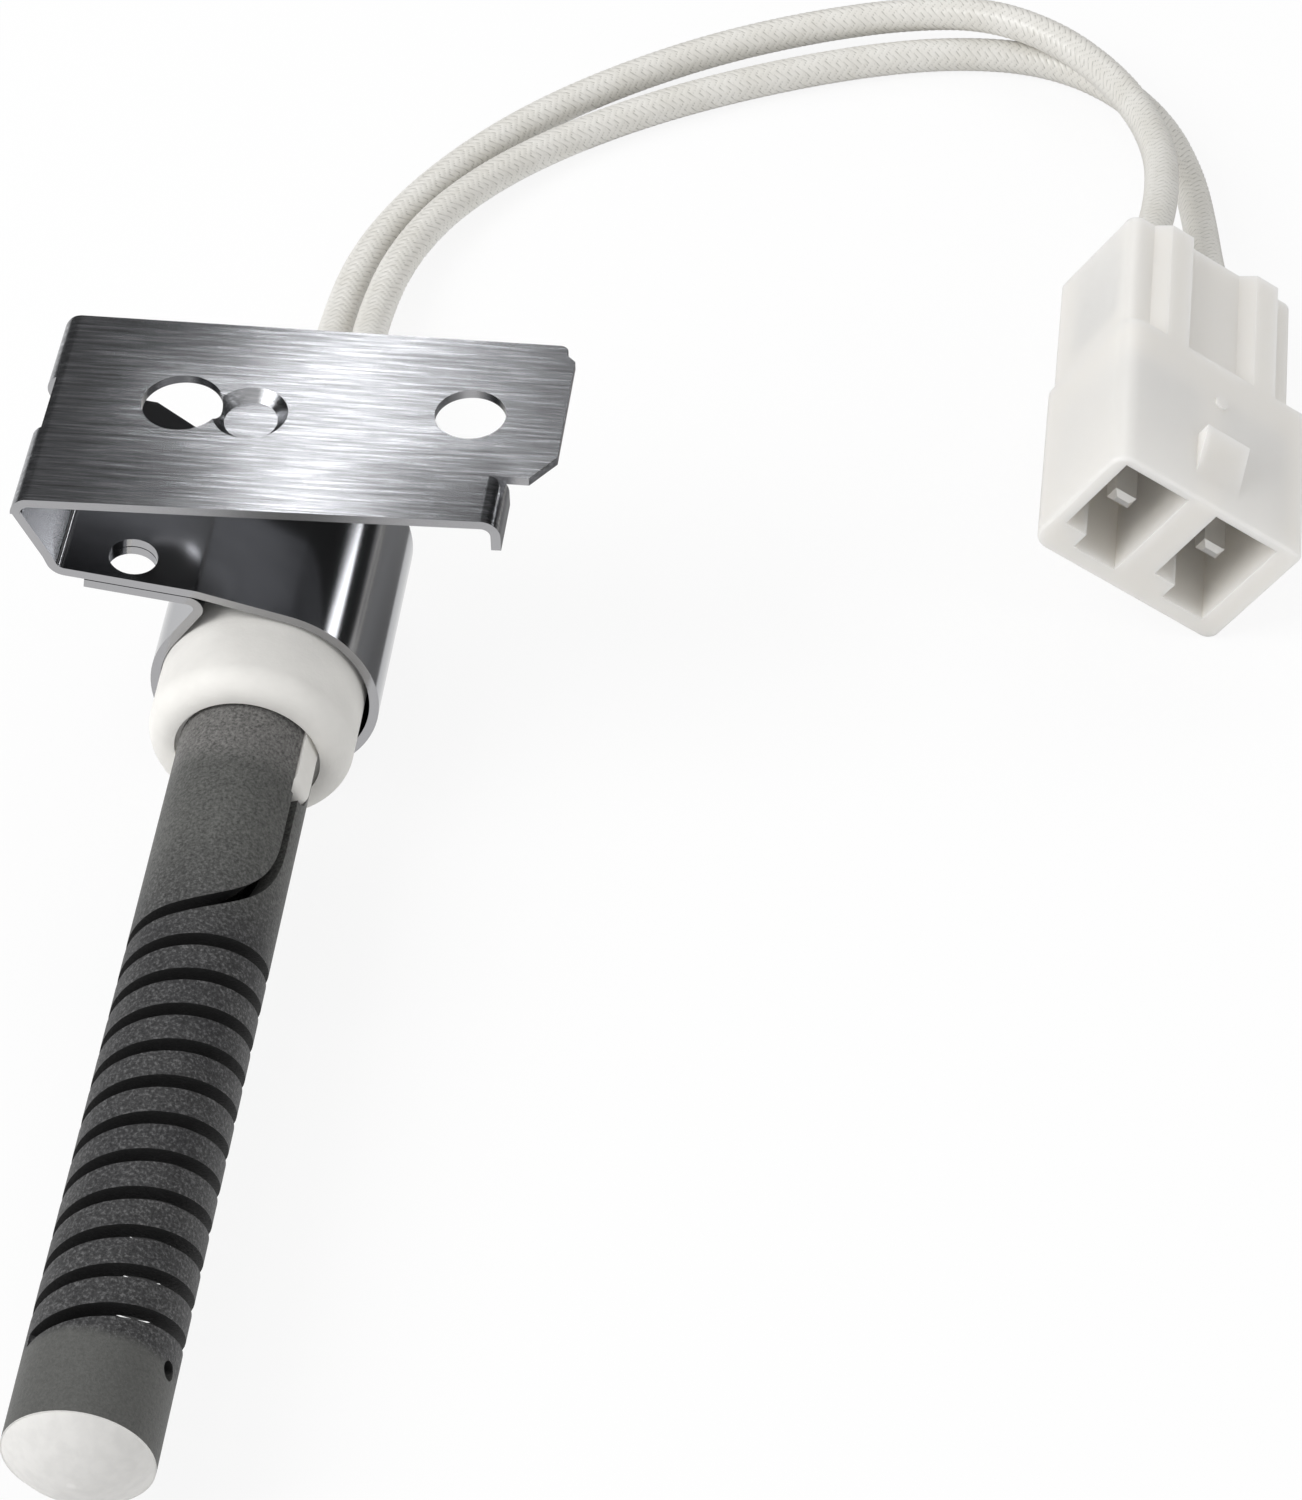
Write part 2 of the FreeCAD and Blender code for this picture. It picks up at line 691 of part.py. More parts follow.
def make_base():
    """The turned ceramic base, bored through, with the tongue that parts the spiral's halves."""
    body = new_body("ceramic_base")
    bore = "<element_width> / 2 + <cement_thick>"
    outside = new_sketch(body, "base_section", "XZ_Plane")
    draw_outline(outside, [
        (bore, "0"), ("<base_width> / 2", "0"),
        ("<base_width> / 2", "-<base_long>"), (bore, "-<base_long>"),
    ])
    turn_up(body, "turned_base", outside)
    rim = size("base_width") / 2
    rear = -size("base_long")

    def at_front(edge, middle):
        return abs(middle.z) < 0.01 and abs(math.hypot(middle.x, middle.y) - rim) < 0.01

    def at_rear(edge, middle):
        return abs(middle.z - rear) < 0.01 and abs(math.hypot(middle.x, middle.y) - rim) < 0.01

    round_edges(body, "front_rim_round", "<base_round>", at_front)
    round_edges(body, "rear_rim_round", "<base_rear_round>", at_rear)
    tongue = new_sketch(body, "tongue_outline", "XZ_Plane", "0")
    tongue.AttachmentOffset = Placement(Vector(), Rotation(Vector(0, 1, 0), 0))
    half = "(<element_width> / 2 + <cement_thick> + 0.1)"
    draw_outline(tongue, [
        (f"-{half}", "-<element_seat>"), (half, "-<element_seat>"),
        (half, "-<cement_recess>"), ("<element_width> / 2", "-<cement_recess>"),
        ("<element_width> / 2", "<tongue_reach>"), ("-<element_width> / 2", "<tongue_reach>"),
        ("-<element_width> / 2", "-<cement_recess>"), (f"-{half}", "-<cement_recess>"),
    ])
    web = pad(body, "tongue", tongue, "<tongue_thick>")
    web.SideType = "Symmetric"
    doc.recompute()
    tip = size("tongue_reach")

    def at_tip(edge, middle):
        return abs(middle.z - tip) < 0.01 and abs(edge.tangentAt(edge.FirstParameter).y) > 0.9

    round_edges(body, "tongue_round", "<tongue_round>", at_tip)
    face_outwards(body)
    turn = Rotation(Vector(0, 0, 1), 90 - size("tongue_slot_angle"))
    body.Placement = Placement(body.Placement.Base, OUTWARDS * turn)
    return body


def slot_edge(radius, line_shift, axial_shift, curve):
    """One side of the slot on a cylinder: a straight, a round that touches both, a helix."""
    skin = size("element_width") / 2
    pitch = size("slot_turn") / (2 * math.pi * skin)
    lean = math.atan(pitch)
    line_at = math.radians(90 - size("root_slot_angle")) * skin + line_shift
    helix_at = math.radians(90 - size("slot_entry_angle")) * skin

    def on_helix(across):
        return size("slot_entry") + axial_shift + pitch * (across - helix_at)

    centre_at = line_at + curve
    centre_along = on_helix(centre_at) - curve / math.cos(lean)

    def wrap(across, along):
        turn = across / skin
        return Vector(radius * math.cos(turn), radius * math.sin(turn), along)

    start = Part.LineSegment(wrap(line_at, -size("element_seat") - 1), wrap(line_at, centre_along))
    points = []
    for step in range(CURVE_STEPS + 1):
        turn = math.pi - (math.pi / 2 - lean) * step / CURVE_STEPS
        points.append(wrap(centre_at + curve * math.cos(turn), centre_along + curve * math.sin(turn)))
    bend = Part.BSplineCurve()
    bend.interpolate(points)
    first = centre_at - curve * math.sin(lean)
    last = helix_at + (size("slot_stop") - size("slot_entry")) / pitch
    count = math.ceil((last - first) / (2 * math.pi * skin) * TURN_STEPS)
    points = []
    for step in range(count + 1):
        across = first + (last - first) * step / count
        points.append(wrap(across, on_helix(across)))
    helix = Part.BSplineCurve()
    helix.interpolate(points)
    return Part.Wire([start.toShape(), bend.toShape(), helix.toShape()])


CURVE_STEPS = 6
TURN_STEPS = 16


def slot_cutter():
    """A solid with the shape of one slot, from inside the tube's bore to past its skin."""
    inner = size("element_width") / 2 - size("element_wall") - 0.6
    outer = size("element_width") / 2 + 0.4
    half_root = size("root_slot_width") / 2
    skin = size("element_width") / 2
    lean = math.atan(size("slot_turn") / (2 * math.pi * skin))
    half_slot = size("slot_width") / 2 / math.cos(lean)
    tight = size("slot_curve") - size("slot_width") / 2
    wide = size("slot_curve") + size("slot_width") / 2
    sides = []
    for radius in (inner, outer):
        sides.append(slot_edge(radius, half_root, -half_slot, tight))
        sides.append(slot_edge(radius, -half_root, half_slot, wide))
    inner_near, inner_far, outer_near, outer_far = sides
    faces = []
    for one, other in (
        (inner_near, outer_near), (inner_far, outer_far),
        (inner_near, inner_far), (outer_near, outer_far),
    ):
        faces += Part.makeRuledSurface(one, other).Faces
    for place in (0, -1):
        corners = [
            wire.OrderedVertexes[place].Point
            for wire in (inner_near, outer_near, outer_far, inner_far)
        ]
        ring = Part.makePolygon(corners + corners[:1])
        faces.append(Part.makeFilledFace(ring.Edges) if place else Part.Face(ring))
    shell = Part.makeShell(faces)
    shell.sewShape()
    solid = Part.makeSolid(Part.Shell(shell.Faces))
    if solid.Volume < 0:
        solid.reverse()
    return solid


def make_element():
    """The silicon carbide tube, parted by two slots into a double spiral joined at its tip."""
    skin = size("element_width") / 2
    seat = size("element_seat")
    tube = Part.makeCylinder(skin, size("element_reach") + seat, Vector(0, 0, -seat))
    bore = Part.makeCylinder(
        skin - size("element_wall"), size("element_reach") + seat + 2, Vector(0, 0, -seat - 1)
    )
    slot = slot_cutter()
    other_slot = slot.copy()
    other_slot.rotate(Vector(), UP, 180)
    # The wide root of each slot, where the base's tongue passes, with one round corner
    half = size("tongue_slot_width") / 2
    reach = size("tongue_slot_reach")
    bend = size("tongue_slot_round")
    corner = Vector(-half, reach - bend, 0)
    middle = Vector(-half + bend * (1 - math.sqrt(0.5)), reach - bend * (1 - math.sqrt(0.5)), 0)
    outline = Part.Wire([
        Part.makeLine(Vector(-half, -seat - 1, 0), corner),
        Part.Arc(corner, middle, Vector(-half + bend, reach, 0)).toShape(),
        Part.makeLine(Vector(-half + bend, reach, 0), Vector(half, reach, 0)),
        Part.makeLine(Vector(half, reach, 0), Vector(half, -seat - 1, 0)),
        Part.makeLine(Vector(half, -seat - 1, 0), Vector(-half, -seat - 1, 0)),
    ])
    roots = []
    for turn in (0, 180):
        root = Part.Face(outline).extrude(Vector(0, 0, skin + 1))
        # Drawn flat, then stood up so that the outline faces out of the tube
        root.rotate(Vector(), Vector(1, 0, 0), 90)
        root.rotate(Vector(), Vector(0, 0, 1), 180 - size("tongue_slot_angle") + turn)
        roots.append(root)
    vent = Part.makeCylinder(
        size("vent_hole") / 2, skin + 1, Vector(0, 0, size("vent_from_face")),
        along_tube(size("vent_angle"), 1, 0),
    )
    solid = tube.cut([bore, slot, other_slot, vent] + roots)
    feature = doc.addObject("Part::Feature", "heating_element")
    feature.Shape = solid
    face_outwards(feature)
    return feature


def make_end_plug():
    """The cement plug that closes the spiral's tip, with a low dome outside."""
    body = new_body("end_plug")
    section = new_sketch(body, "plug_section", "XZ_Plane")
    bore = size("element_width") / 2 - size("element_wall") - size("plug_fit")
    rim = size("element_width") / 2 - size("plug_rim_inset")
    tip = size("element_reach")
    foot = tip - size("plug_spigot")
    top = tip + size("plug_dome")
    # The dome is a round through the rim and the crown
    dome_radius = (rim ** 2 + size("plug_dome") ** 2) / (2 * size("plug_dome"))
    centre = Vector(0, top - dome_radius, 0)
    rim_angle = math.atan2(tip - centre.y, rim)
    sides = [
        Part.LineSegment(Vector(0, foot, 0), Vector(bore, foot, 0)),
        Part.LineSegment(Vector(bore, foot, 0), Vector(bore, tip, 0)),
        Part.LineSegment(Vector(bore, tip, 0), Vector(rim, tip, 0)),
        Part.ArcOfCircle(Part.Circle(centre, UP, dome_radius), rim_angle, math.pi / 2),
        Part.LineSegment(Vector(0, top, 0), Vector(0, foot, 0)),
    ]
    for side in sides:
        section.addGeometry(side, False)
    for number in range(5):
        section.addConstraint(Sketcher.Constraint("Coincident", number, 2, (number + 1) % 5, 1))
    section.addConstraint(Sketcher.Constraint("PointOnObject", 3, 3, -2))
    dimension(section, "DistanceX", (-1, 1, 0, 1), "0")
    dimension(section, "DistanceY", (-1, 1, 0, 1), "<element_reach> - <plug_spigot>")
    dimension(section, "DistanceX", (-1, 1, 1, 1), "<element_width> / 2 - <element_wall> - <plug_fit>")
    dimension(section, "DistanceY", (-1, 1, 2, 1), "<element_reach>")
    dimension(section, "DistanceX", (-1, 1, 2, 2), "<element_width> / 2 - <plug_rim_inset>")
    dimension(section, "DistanceY", (-1, 1, 3, 2), "<element_reach> + <plug_dome>")
    turn_up(body, "turned_plug", section)
    face_outwards(body)
    return body


def make_cement_sleeve():
    """The cement that fills the joint between the spiral's cold end and the base's bore."""
    skin = size("element_width") / 2
    long = size("element_seat") - size("cement_recess")
    start = Vector(0, 0, -size("element_seat"))
    ring = Part.makeCylinder(skin + size("cement_thick"), long, start)
    ring = ring.cut(Part.makeCylinder(skin, long, start))
    wide = 2 * size("element_width")
    gap = Part.makeBox(wide, size("tongue_slot_width"), long + 2)
    gap.translate(Vector(-wide / 2, -size("tongue_slot_width") / 2, -size("element_seat") - 1))
    gap.rotate(Vector(), UP, 90 - size("tongue_slot_angle"))
    feature = doc.addObject("Part::Feature", "cement_sleeve")
    feature.Shape = ring.cut(gap)
    face_outwards(feature)
    return feature


def make_rear_seal():
    """The potting disc at the back of the base, with a hole for each lead."""
    body = new_body("rear_seal")
    disc = new_sketch(body, "seal_disc", "XY_Plane", "-<base_long>")
    draw_circle(disc, "0", "0", "<element_width> / 2 + <cement_thick>")
    draw_circle(disc, "-<lead_spread> / 2", "0", "<lead_width> / 2 + <seal_fit>")
    draw_circle(disc, "<lead_spread> / 2", "0", "<lead_width> / 2 + <seal_fit>")
    pad(body, "seal", disc, "<seal_thick>")
    face_outwards(body)
    return body


def barrel(length, outer, inner):
    """A crimped barrel: a tube pressed in along two sides."""
    tube = Part.makeCylinder(outer, length).cut(Part.makeCylinder(inner, length))
    press = Part.makeBox(2 * outer, outer, length * 0.5)
    dents = []
    for side in (1, -1):
        dent = press.copy()
        dent.translate(Vector(-outer, outer * 0.88 if side > 0 else -outer * 1.88, length * 0.25))
        dents.append(dent)
    return tube.cut(dents)


def make_terminal_clip(name, turn):
    """A spring strip inside the spiral's cold end, with a tail to the lead's crimp barrel."""
    thick = size("clip_thick")
    outer = size("element_width") / 2 - size("element_wall") - size("clip_fit")
    seat = size("element_seat")
    strip = Part.makeCylinder(outer, size("clip_long"), Vector(0, 0, -seat))
    strip = strip.cut(Part.makeCylinder(outer - thick, size("clip_long"), Vector(0, 0, -seat)))
    # Keep the part of the ring that lies on one half of the spiral, clear of the tongue
    span = size("clip_span")
    wedge = Part.makeCylinder(outer + 1, size("clip_long"), Vector(0, 0, -seat), UP, span)
    wedge.rotate(Vector(), UP, 90 - (size("tongue_slot_angle") - 90) - span / 2)
    strip = strip.common(wedge)
    # The tail falls from the strip to the barrel, which lies in line with the lead
    lead_across = -size("lead_spread") / 2
    grip_start = size("lead_start") - size("conductor_grip")
    barrel_radius = size("barrel_width") / 2
    tail_left = lead_across - size("tail_width") / 2 + 0.3
    high = math.sqrt((outer - thick) ** 2 - min(abs(tail_left), outer / 2) ** 2)
    tail = Part.makePolygon([
        Vector(tail_left, high + thick, -seat + 1.2),
        Vector(tail_left, high + thick, -seat - 0.4),
        Vector(tail_left, barrel_radius + thick * 0.5, -grip_start + 0.2),
        Vector(tail_left, barrel_radius + thick * 0.5, -grip_start - 1.5),
        Vector(tail_left, barrel_radius - thick * 0.6, -grip_start - 1.5),
        Vector(tail_left, barrel_radius - thick * 0.6, -grip_start),
        Vector(tail_left, high, -seat - 0.6),
        Vector(tail_left, high, -seat + 1.2),
        Vector(tail_left, high + thick, -seat + 1.2),
    ])
    tail = Part.Face(tail).extrude(Vector(size("tail_width"), 0, 0))
    inside = Part.makeCylinder(outer, 3 * seat, Vector(0, 0, -3 * seat))
    grip = barrel(
        size("conductor_grip"), barrel_radius, size("conductor_width") / 2 + size("barrel_fit")
    )
    hollow = Part.makeCylinder(size("conductor_width") / 2 + size("barrel_fit"), seat)
    for piece in (grip, hollow):
        piece.translate(Vector(lead_across, 0, -size("lead_start")))
    clip = strip.fuse([tail.common(inside), grip]).cut(hollow)
    clip.rotate(Vector(), UP, turn)
    feature = doc.addObject("Part::Feature", name)
    feature.Shape = clip.removeSplitter()
    face_outwards(feature)
    return feature


def make_base_conductor(name, side):
    """The bared strands of one lead, in the barrel of its clip."""
    wire = doc.addObject("Part::Cylinder", name)
    bind(wire, "Radius", "<conductor_width> / 2")
    bind(wire, "Height", "<conductor_grip>")
    wire.Placement = Placement(Vector(), Rotation(Vector(1, 0, 0), -90))
    bind(wire, "Placement.Base.x", f"{side} * <lead_spread> / 2 - <tube_from_hole>")
    bind(wire, "Placement.Base.y", "<lead_start> - <conductor_grip> - <face_from_hole>")
    bind(wire, "Placement.Base.z", "-<plate_over_tube>")
    return wire


# The plug: drawn from the middle of its open face, with X across, Y back and Z up its rolled side
def make_housing():
    """The moulded plug: a collar round two deep cavities, and a narrower ribbed back."""
    body = new_body("connector_housing")
    half = "<housing_width> / 2"
    high = "<housing_high> / 2"
    collar = new_sketch(body, "collar_outline", "XZ_Plane")
    wide = "<housing_edge>"
    under = f"-{high} - <housing_under>"
    draw_rounded(collar, [
        (f"-{half}", under, wide), (half, under, "<housing_low_edge>"),
        (half, high, "<housing_small_edge>"), (f"-{half}", high, wide),
    ])
    pad(body, "collar", collar, "<collar_long>", reverse=True)
    round_edges(body, "mouth_rim", "<housing_mouth_edge>", lambda edge, middle: middle.y < 0.01)

    # The back is stepped in at the top and at both sides, with a rib over each cavity
    back = new_sketch(body, "back_outline", "XZ_Plane", "-<collar_long> + 1")
    low = f"{high} - <collar_top_step>"
    bottom = f"{under} + <back_under_step>"
    left = f"-{half} + <back_left_step>"
    right = f"{half} - <collar_side_step>"
    edge = "<back_edge>"
    corners = [(left, bottom, edge), (right, bottom, edge), (right, low, edge)]
    for cavity in (1, -1):
        rib_right = f"{rib_centre(cavity)} + <rib_width> / 2"
        corners += [
            (rib_right, low, None), (rib_right, high, None), (f"{rib_right} - <rib_width>", high, None),
            (f"{rib_right} - <rib_width> - <rib_slope>", low, None),
        ]
    corners.append((left, low, edge))
    draw_rounded(back, corners)
    pad(body, "ribbed_back", back, "<housing_long> - <collar_long> + 1", reverse=True)

    for cavity in (-1, 1):
        middle = cavity_centre(cavity)
        label = "left" if cavity < 0 else "right"
        mouth = new_sketch(body, f"{label}_mouth", "XZ_Plane")
        left = f"{middle} - <cavity_width> / 2"
        right = f"{middle} + <cavity_width> / 2"
        bottom = "-<cavity_high> / 2"
        top = "<cavity_high> / 2"
        draw_outline(mouth, [
            (f"{left} + <key_width>", bottom), (right, bottom), (right, top), (left, top),
            (left, f"{bottom} + <key_high>"), (f"{left} + <key_width>", f"{bottom} + <key_high>"),
        ])
        pocket(body, f"{label}_cavity", mouth, "<cavity_deep>")
        passage = new_sketch(body, f"{label}_passage_outline", "XZ_Plane")
        fit = "<pin_body_fit>"
        draw_box(
            passage,
            f"{middle} - <pin_body_width> / 2 - {fit}", f"{middle} + <pin_body_width> / 2 + {fit}",
            f"-<pin_body_high> / 2 - {fit}", f"<pin_body_high> / 2 + {fit}",
        )
        pocket(body, f"{label}_passage", passage, "<housing_long>")
        well = new_sketch(body, f"{label}_well_outline", "XZ_Plane", "-<housing_long>")
        draw_box(
            well,
            f"{middle} - <lead_well> / 2", f"{middle} + <lead_well> / 2",
            "-<lead_well> / 2", "<lead_well> / 2",
        )
        pocket(body, f"{label}_lead_well", well, "<lead_well_deep>", reverse=True)

    # The latch is a low ramp on the collar's top, steep at its back
    latch = new_sketch(body, "latch_side", "YZ_Plane", "<latch_shift> - <latch_width> / 2")
    draw_outline(latch, [
        ("<latch_front>", f"{high} - 0.4"), ("<latch_front>", high),
        ("<latch_front> + <latch_long>", f"{high} + <latch_high>"),
        ("<latch_front> + <latch_long>", f"{high} - 0.4"),
    ])
    pad(body, "latch", latch, "<latch_width>")
    mark = new_sketch(body, "gate_mark_outline", "XY_Plane", f"{high} - 0.2")
    draw_circle(mark, "<latch_shift>", "<gate_mark_back>", "<gate_mark> / 2")
    pad(body, "gate_mark", mark, "<gate_mark_high> + 0.2")
    seat_in_plug(body)
    return body


def cavity_centre(side):
    return f"(<cavity_shift> + {side} * <cavity_pitch> / 2)"


def rib_centre(side):
    return f"({cavity_centre(side)} + 0.85)"


def make_pin_terminal(name, side):
    """A folded pin, its body in the housing's web, and the barrel that grips the lead."""
    half_wide = size("pin_width") / 2
    half_high = size("pin_high") / 2
    tip = size("pin_tip_back")
    shank = Part.makeBox(
        2 * half_wide, size("pin_long"), 2 * half_high, Vector(-half_wide, tip, -half_high)
    )
    tip_edges = [
        edge for edge in shank.Edges
        if all(abs(vertex.Y - tip) < 1e-6 for vertex in edge.Vertexes)
    ]
    shank = shank.makeChamfer(size("pin_chamfer"), tip_edges)
    body_start = tip + size("pin_long")
    lead_end = barrel_back()
    body = Part.makeBox(
        size("pin_body_width"), size("pin_body_long"), size("pin_body_high"),
        Vector(-size("pin_body_width") / 2, body_start, -size("pin_body_high") / 2),
    )
    grip_long = size("conductor_grip")
    grip_radius = size("barrel_width") / 2
    bore_radius = size("conductor_width") / 2 + size("barrel_fit")
    neck_start = body_start + size("pin_body_long")
    neck = Part.makeBox(
        grip_radius * 1.4, lead_end - neck_start - grip_long + 1, size("clip_thick"),
        Vector(-grip_radius * 0.7, neck_start - 0.5, -grip_radius),
    )
    grip = barrel(grip_long, grip_radius, bore_radius)
    hollow = Part.makeCylinder(bore_radius, grip_long + 1)
    for piece in (grip, hollow):
        piece.rotate(Vector(), Vector(1, 0, 0), -90)
        piece.translate(Vector(0, lead_end - grip_long, 0))
    terminal = shank.fuse([body, neck, grip]).cut(hollow)
    terminal.translate(Vector(worth(cavity_centre(side)), 0, 0))
    feature = doc.addObject("Part::Feature", name)
    feature.Shape = terminal.removeSplitter()
    seat_in_plug(feature)
    return feature


def barrel_back():
    """How far behind the plug's open face a lead's covering ends, at its crimp barrel."""
    body_end = size("pin_tip_back") + size("pin_long") + size("pin_body_long")
    return body_end + 0.5 + size("conductor_grip")


def make_plug_conductor(name, side):
    """The bared strands of one lead, in the barrel of its pin."""
    start = barrel_back() - size("conductor_grip")
    wire = Part.makeCylinder(
        size("conductor_width") / 2, size("conductor_grip"),
        Vector(worth(cavity_centre(side)), start, 0), ALONG,
    )
    feature = doc.addObject("Part::Feature", name)
    feature.Shape = wire
    seat_in_plug(feature)
    return feature


# The leads lie on the surface that the clamp loop rests on. Their routes are points round the
# tube's axis: out of the seal, down to the surface, round in one wide bend, with the first lead
# over the second where they cross, and up into the plug.
def lead_ends(side):
    """The last two points of a lead's route, in line with its pin."""
    across = worth(cavity_centre(side))
    return [from_plug(across, barrel_back() + 7, 0), from_plug(across, barrel_back(), 0)]


def lead_routes():
    rest = -(size("loop_inner") + size("sheet_thick")) + size("lead_width") / 2
    left = -size("lead_spread") / 2
    right = size("lead_spread") / 2
    start = size("lead_start")
    first = [
        Vector(left, start, 0),
        Vector(left, 38, 0),
        Vector(-2.3, 49, -2.6),
        Vector(-3.1, 60, -6.6),
        Vector(-3.6, 70.5, rest),
        Vector(-2.6, 80, rest),
        Vector(0.6, 89.2, rest),
        Vector(5.8, 98, rest),
        Vector(12.6, 106.2, rest),
        Vector(21.2, 113.4, rest + 0.2),
        Vector(31.2, 119.3, rest + 0.7),
        Vector(41.8, 123.3, rest + 1.4),
        Vector(51.6, 124.9, rest + 2.5),
        Vector(60.2, 124.0, rest + 3.8),
        Vector(67.8, 120.4, rest + 3.9),
        Vector(73.6, 114.6, rest + 3.9),
        Vector(77.6, 107.2, rest + 4.6),
        Vector(79.8, 98.6, rest + 6.2),
        Vector(80.2, 89.8, rest + 8.3),
        Vector(79.6, 81.0, rest + 10.5),
    ]
    second = [
        Vector(right, start, 0),
        Vector(right, 38, 0),
        Vector(1.7, 49, -2.1),
        Vector(0.9, 60, -5.0),
        Vector(0.5, 70.0, rest + 1.8),
        Vector(1.6, 79.0, rest + 1.5),
        Vector(4.6, 87.6, rest + 1.1),
        Vector(9.6, 95.6, rest + 0.5),
        Vector(16.4, 102.8, rest),
        Vector(25.2, 109.1, rest),
        Vector(35.4, 114.6, rest),
        Vector(46.6, 119.2, rest),
        Vector(57.0, 121.7, rest),
        Vector(66.4, 121.5, rest),
        Vector(74.2, 117.7, rest),
        Vector(79.8, 111.0, rest),
        Vector(83.0, 102.4, rest + 0.2),
        Vector(84.4, 93.4, rest + 1.3),
        Vector(85.2, 84.4, rest + 3.3),
    ]
    return {
        "lead_1": first + lead_ends(-1),
        "lead_2": second + lead_ends(1),
    }


BEND_SHARE = 0.45


def make_lead(name, route):
    """A round lead along straight runs, joined by arcs as large as the runs allow."""
    runs = []
    tightest = math.inf
    previous = route[0]
    for before, corner, after in zip(route, route[1:], route[2:]):
        back = (before - corner).normalize()
        on = (after - corner).normalize()
        half = back.getAngle(on) / 2
        reach = BEND_SHARE * min((before - corner).Length, (after - corner).Length)
        radius = reach * math.tan(half)
        tightest = min(tightest, radius)
        first = corner + back * reach
        last = corner + on * reach
        centre = corner + (back + on).normalize() * (radius / math.sin(half))
        nearest = centre + (corner - centre).normalize() * radius
        runs.append(Part.LineSegment(previous, first).toShape())
        runs.append(Part.Arc(first, nearest, last).toShape())
        previous = last
    runs.append(Part.LineSegment(previous, route[-1]).toShape())
    path = Part.Wire(runs)
    start = (route[1] - route[0]).normalize()
    ring = Part.Wire(Part.makeCircle(size("lead_width") / 2, route[0], start))
    solid = path.makePipeShell([ring], True, False)
    section = math.pi * (size("lead_width") / 2) ** 2
    print(f"{name}: {path.Length:.1f} mm long, tightest bend {tightest:.1f} mm,"
          f" volume over section times length {solid.Volume / (section * path.Length):.4f}")
    feature = doc.addObject("Part::Feature", name)
    feature.Shape = solid
    feature.Placement = tube_place()
    return feature


parts = [
    make_bracket(),
    make_base(),
    make_element(),
    make_end_plug(),
    make_cement_sleeve(),
    make_rear_seal(),
    make_terminal_clip("terminal_clip_1", 0),
    make_terminal_clip("terminal_clip_2", 180),
    make_base_conductor("base_conductor_1", -1),
    make_base_conductor("base_conductor_2", 1),
    make_housing(),
    make_pin_terminal("pin_terminal_1", -1),
    make_pin_terminal("pin_terminal_2", 1),
    make_plug_conductor("plug_conductor_1", -1),
    make_plug_conductor("plug_conductor_2", 1),
]
parts += [make_lead(name, route) for name, route in lead_routes().items()]
doc.recompute()

for item in doc.Objects:
    if "Invalid" in item.State or "Error" in item.State:
        raise ValueError(f"{item.Name} did not build: {item.State}")
for item in parts:
    if item.Shape.isNull() or not item.Shape.isValid() or not item.Shape.Solids:
        raise ValueError(f"{item.Label} has no sound solid")

os.makedirs("parts", exist_ok=True)
for item in parts:
    item.Shape.exportStep(f"parts/{item.Label}.step")
    print(item.Label, round(item.Shape.Volume, 2))
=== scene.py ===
"""Hot surface igniter: finishes, braided leads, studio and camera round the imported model."""

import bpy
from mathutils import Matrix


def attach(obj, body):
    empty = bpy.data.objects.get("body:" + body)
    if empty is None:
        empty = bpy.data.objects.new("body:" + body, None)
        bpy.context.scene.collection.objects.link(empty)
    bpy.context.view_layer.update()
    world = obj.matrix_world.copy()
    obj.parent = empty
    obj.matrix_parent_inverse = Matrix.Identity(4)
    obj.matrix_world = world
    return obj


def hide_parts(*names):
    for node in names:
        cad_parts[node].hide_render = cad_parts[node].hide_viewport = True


bl_info = {
    "name": "Hot surface igniter",
    "version": (1, 0, 0),
    "blender": (4, 5, 0),
    "location": "View3D > Sidebar > Igniter",
    "description": "Dresses the igniter's parts, makes its braided leads and sets the studio",
    "category": "Object",
}

import math

import bmesh
import bpy
from mathutils import Matrix, Vector

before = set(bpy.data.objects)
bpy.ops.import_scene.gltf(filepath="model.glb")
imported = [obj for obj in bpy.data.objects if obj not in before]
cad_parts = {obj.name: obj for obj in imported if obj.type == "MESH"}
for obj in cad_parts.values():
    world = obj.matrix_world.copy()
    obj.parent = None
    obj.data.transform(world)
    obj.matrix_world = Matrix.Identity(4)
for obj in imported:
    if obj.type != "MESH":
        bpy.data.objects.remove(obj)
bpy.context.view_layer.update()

# The lowest line of the strap's loop, which stands on the floor
FLOOR_LEVEL = -0.03482

# The bracket's height where its smooth folds end and its brushed plate begins
PLATE_START = (-0.0016, -0.0009)

# The front faces of the ceramic and of the tube, along the tube's axis
CERAMIC_FRONT = -0.02157
TUBE_END = -0.09967

# Where each finish of the tube begins and where it is full
CONTACT_ZONE = (CERAMIC_FRONT - 0.0058, CERAMIC_FRONT - 0.0036)
PALE_BODY = (CERAMIC_FRONT - 0.0260, CERAMIC_FRONT - 0.0140)
TIP_BAND = (-0.0903, -0.0913)
END_FACE = (TUBE_END + 0.00006, TUBE_END + 0.00002)

# How far the borders of the tube's zones wander
ZONE_WANDER = 0.0016

# How far a face turns to the front before it counts as a cut edge, or as a slot's wall that gets
# painted shade
CUT_EDGE = (0.55, 0.9)
SLOT_WALL_SHADE = (0.35, 0.7)

# Edges that turn by less are smooth, and points that are closer are one
SMOOTH_UNDER = math.radians(32)
MERGE_WITHIN = 1e-7

# The camera stands in front of the tip and looks down on the plate
CAMERA_PLACE = (
    (0.9935, -0.0711, 0.0885, 0.05538),
    (0.1126, 0.7174, -0.6875, -0.30739),
    (-0.0145, 0.6930, 0.7208, 0.28007),
    (0, 0, 0, 1),
)

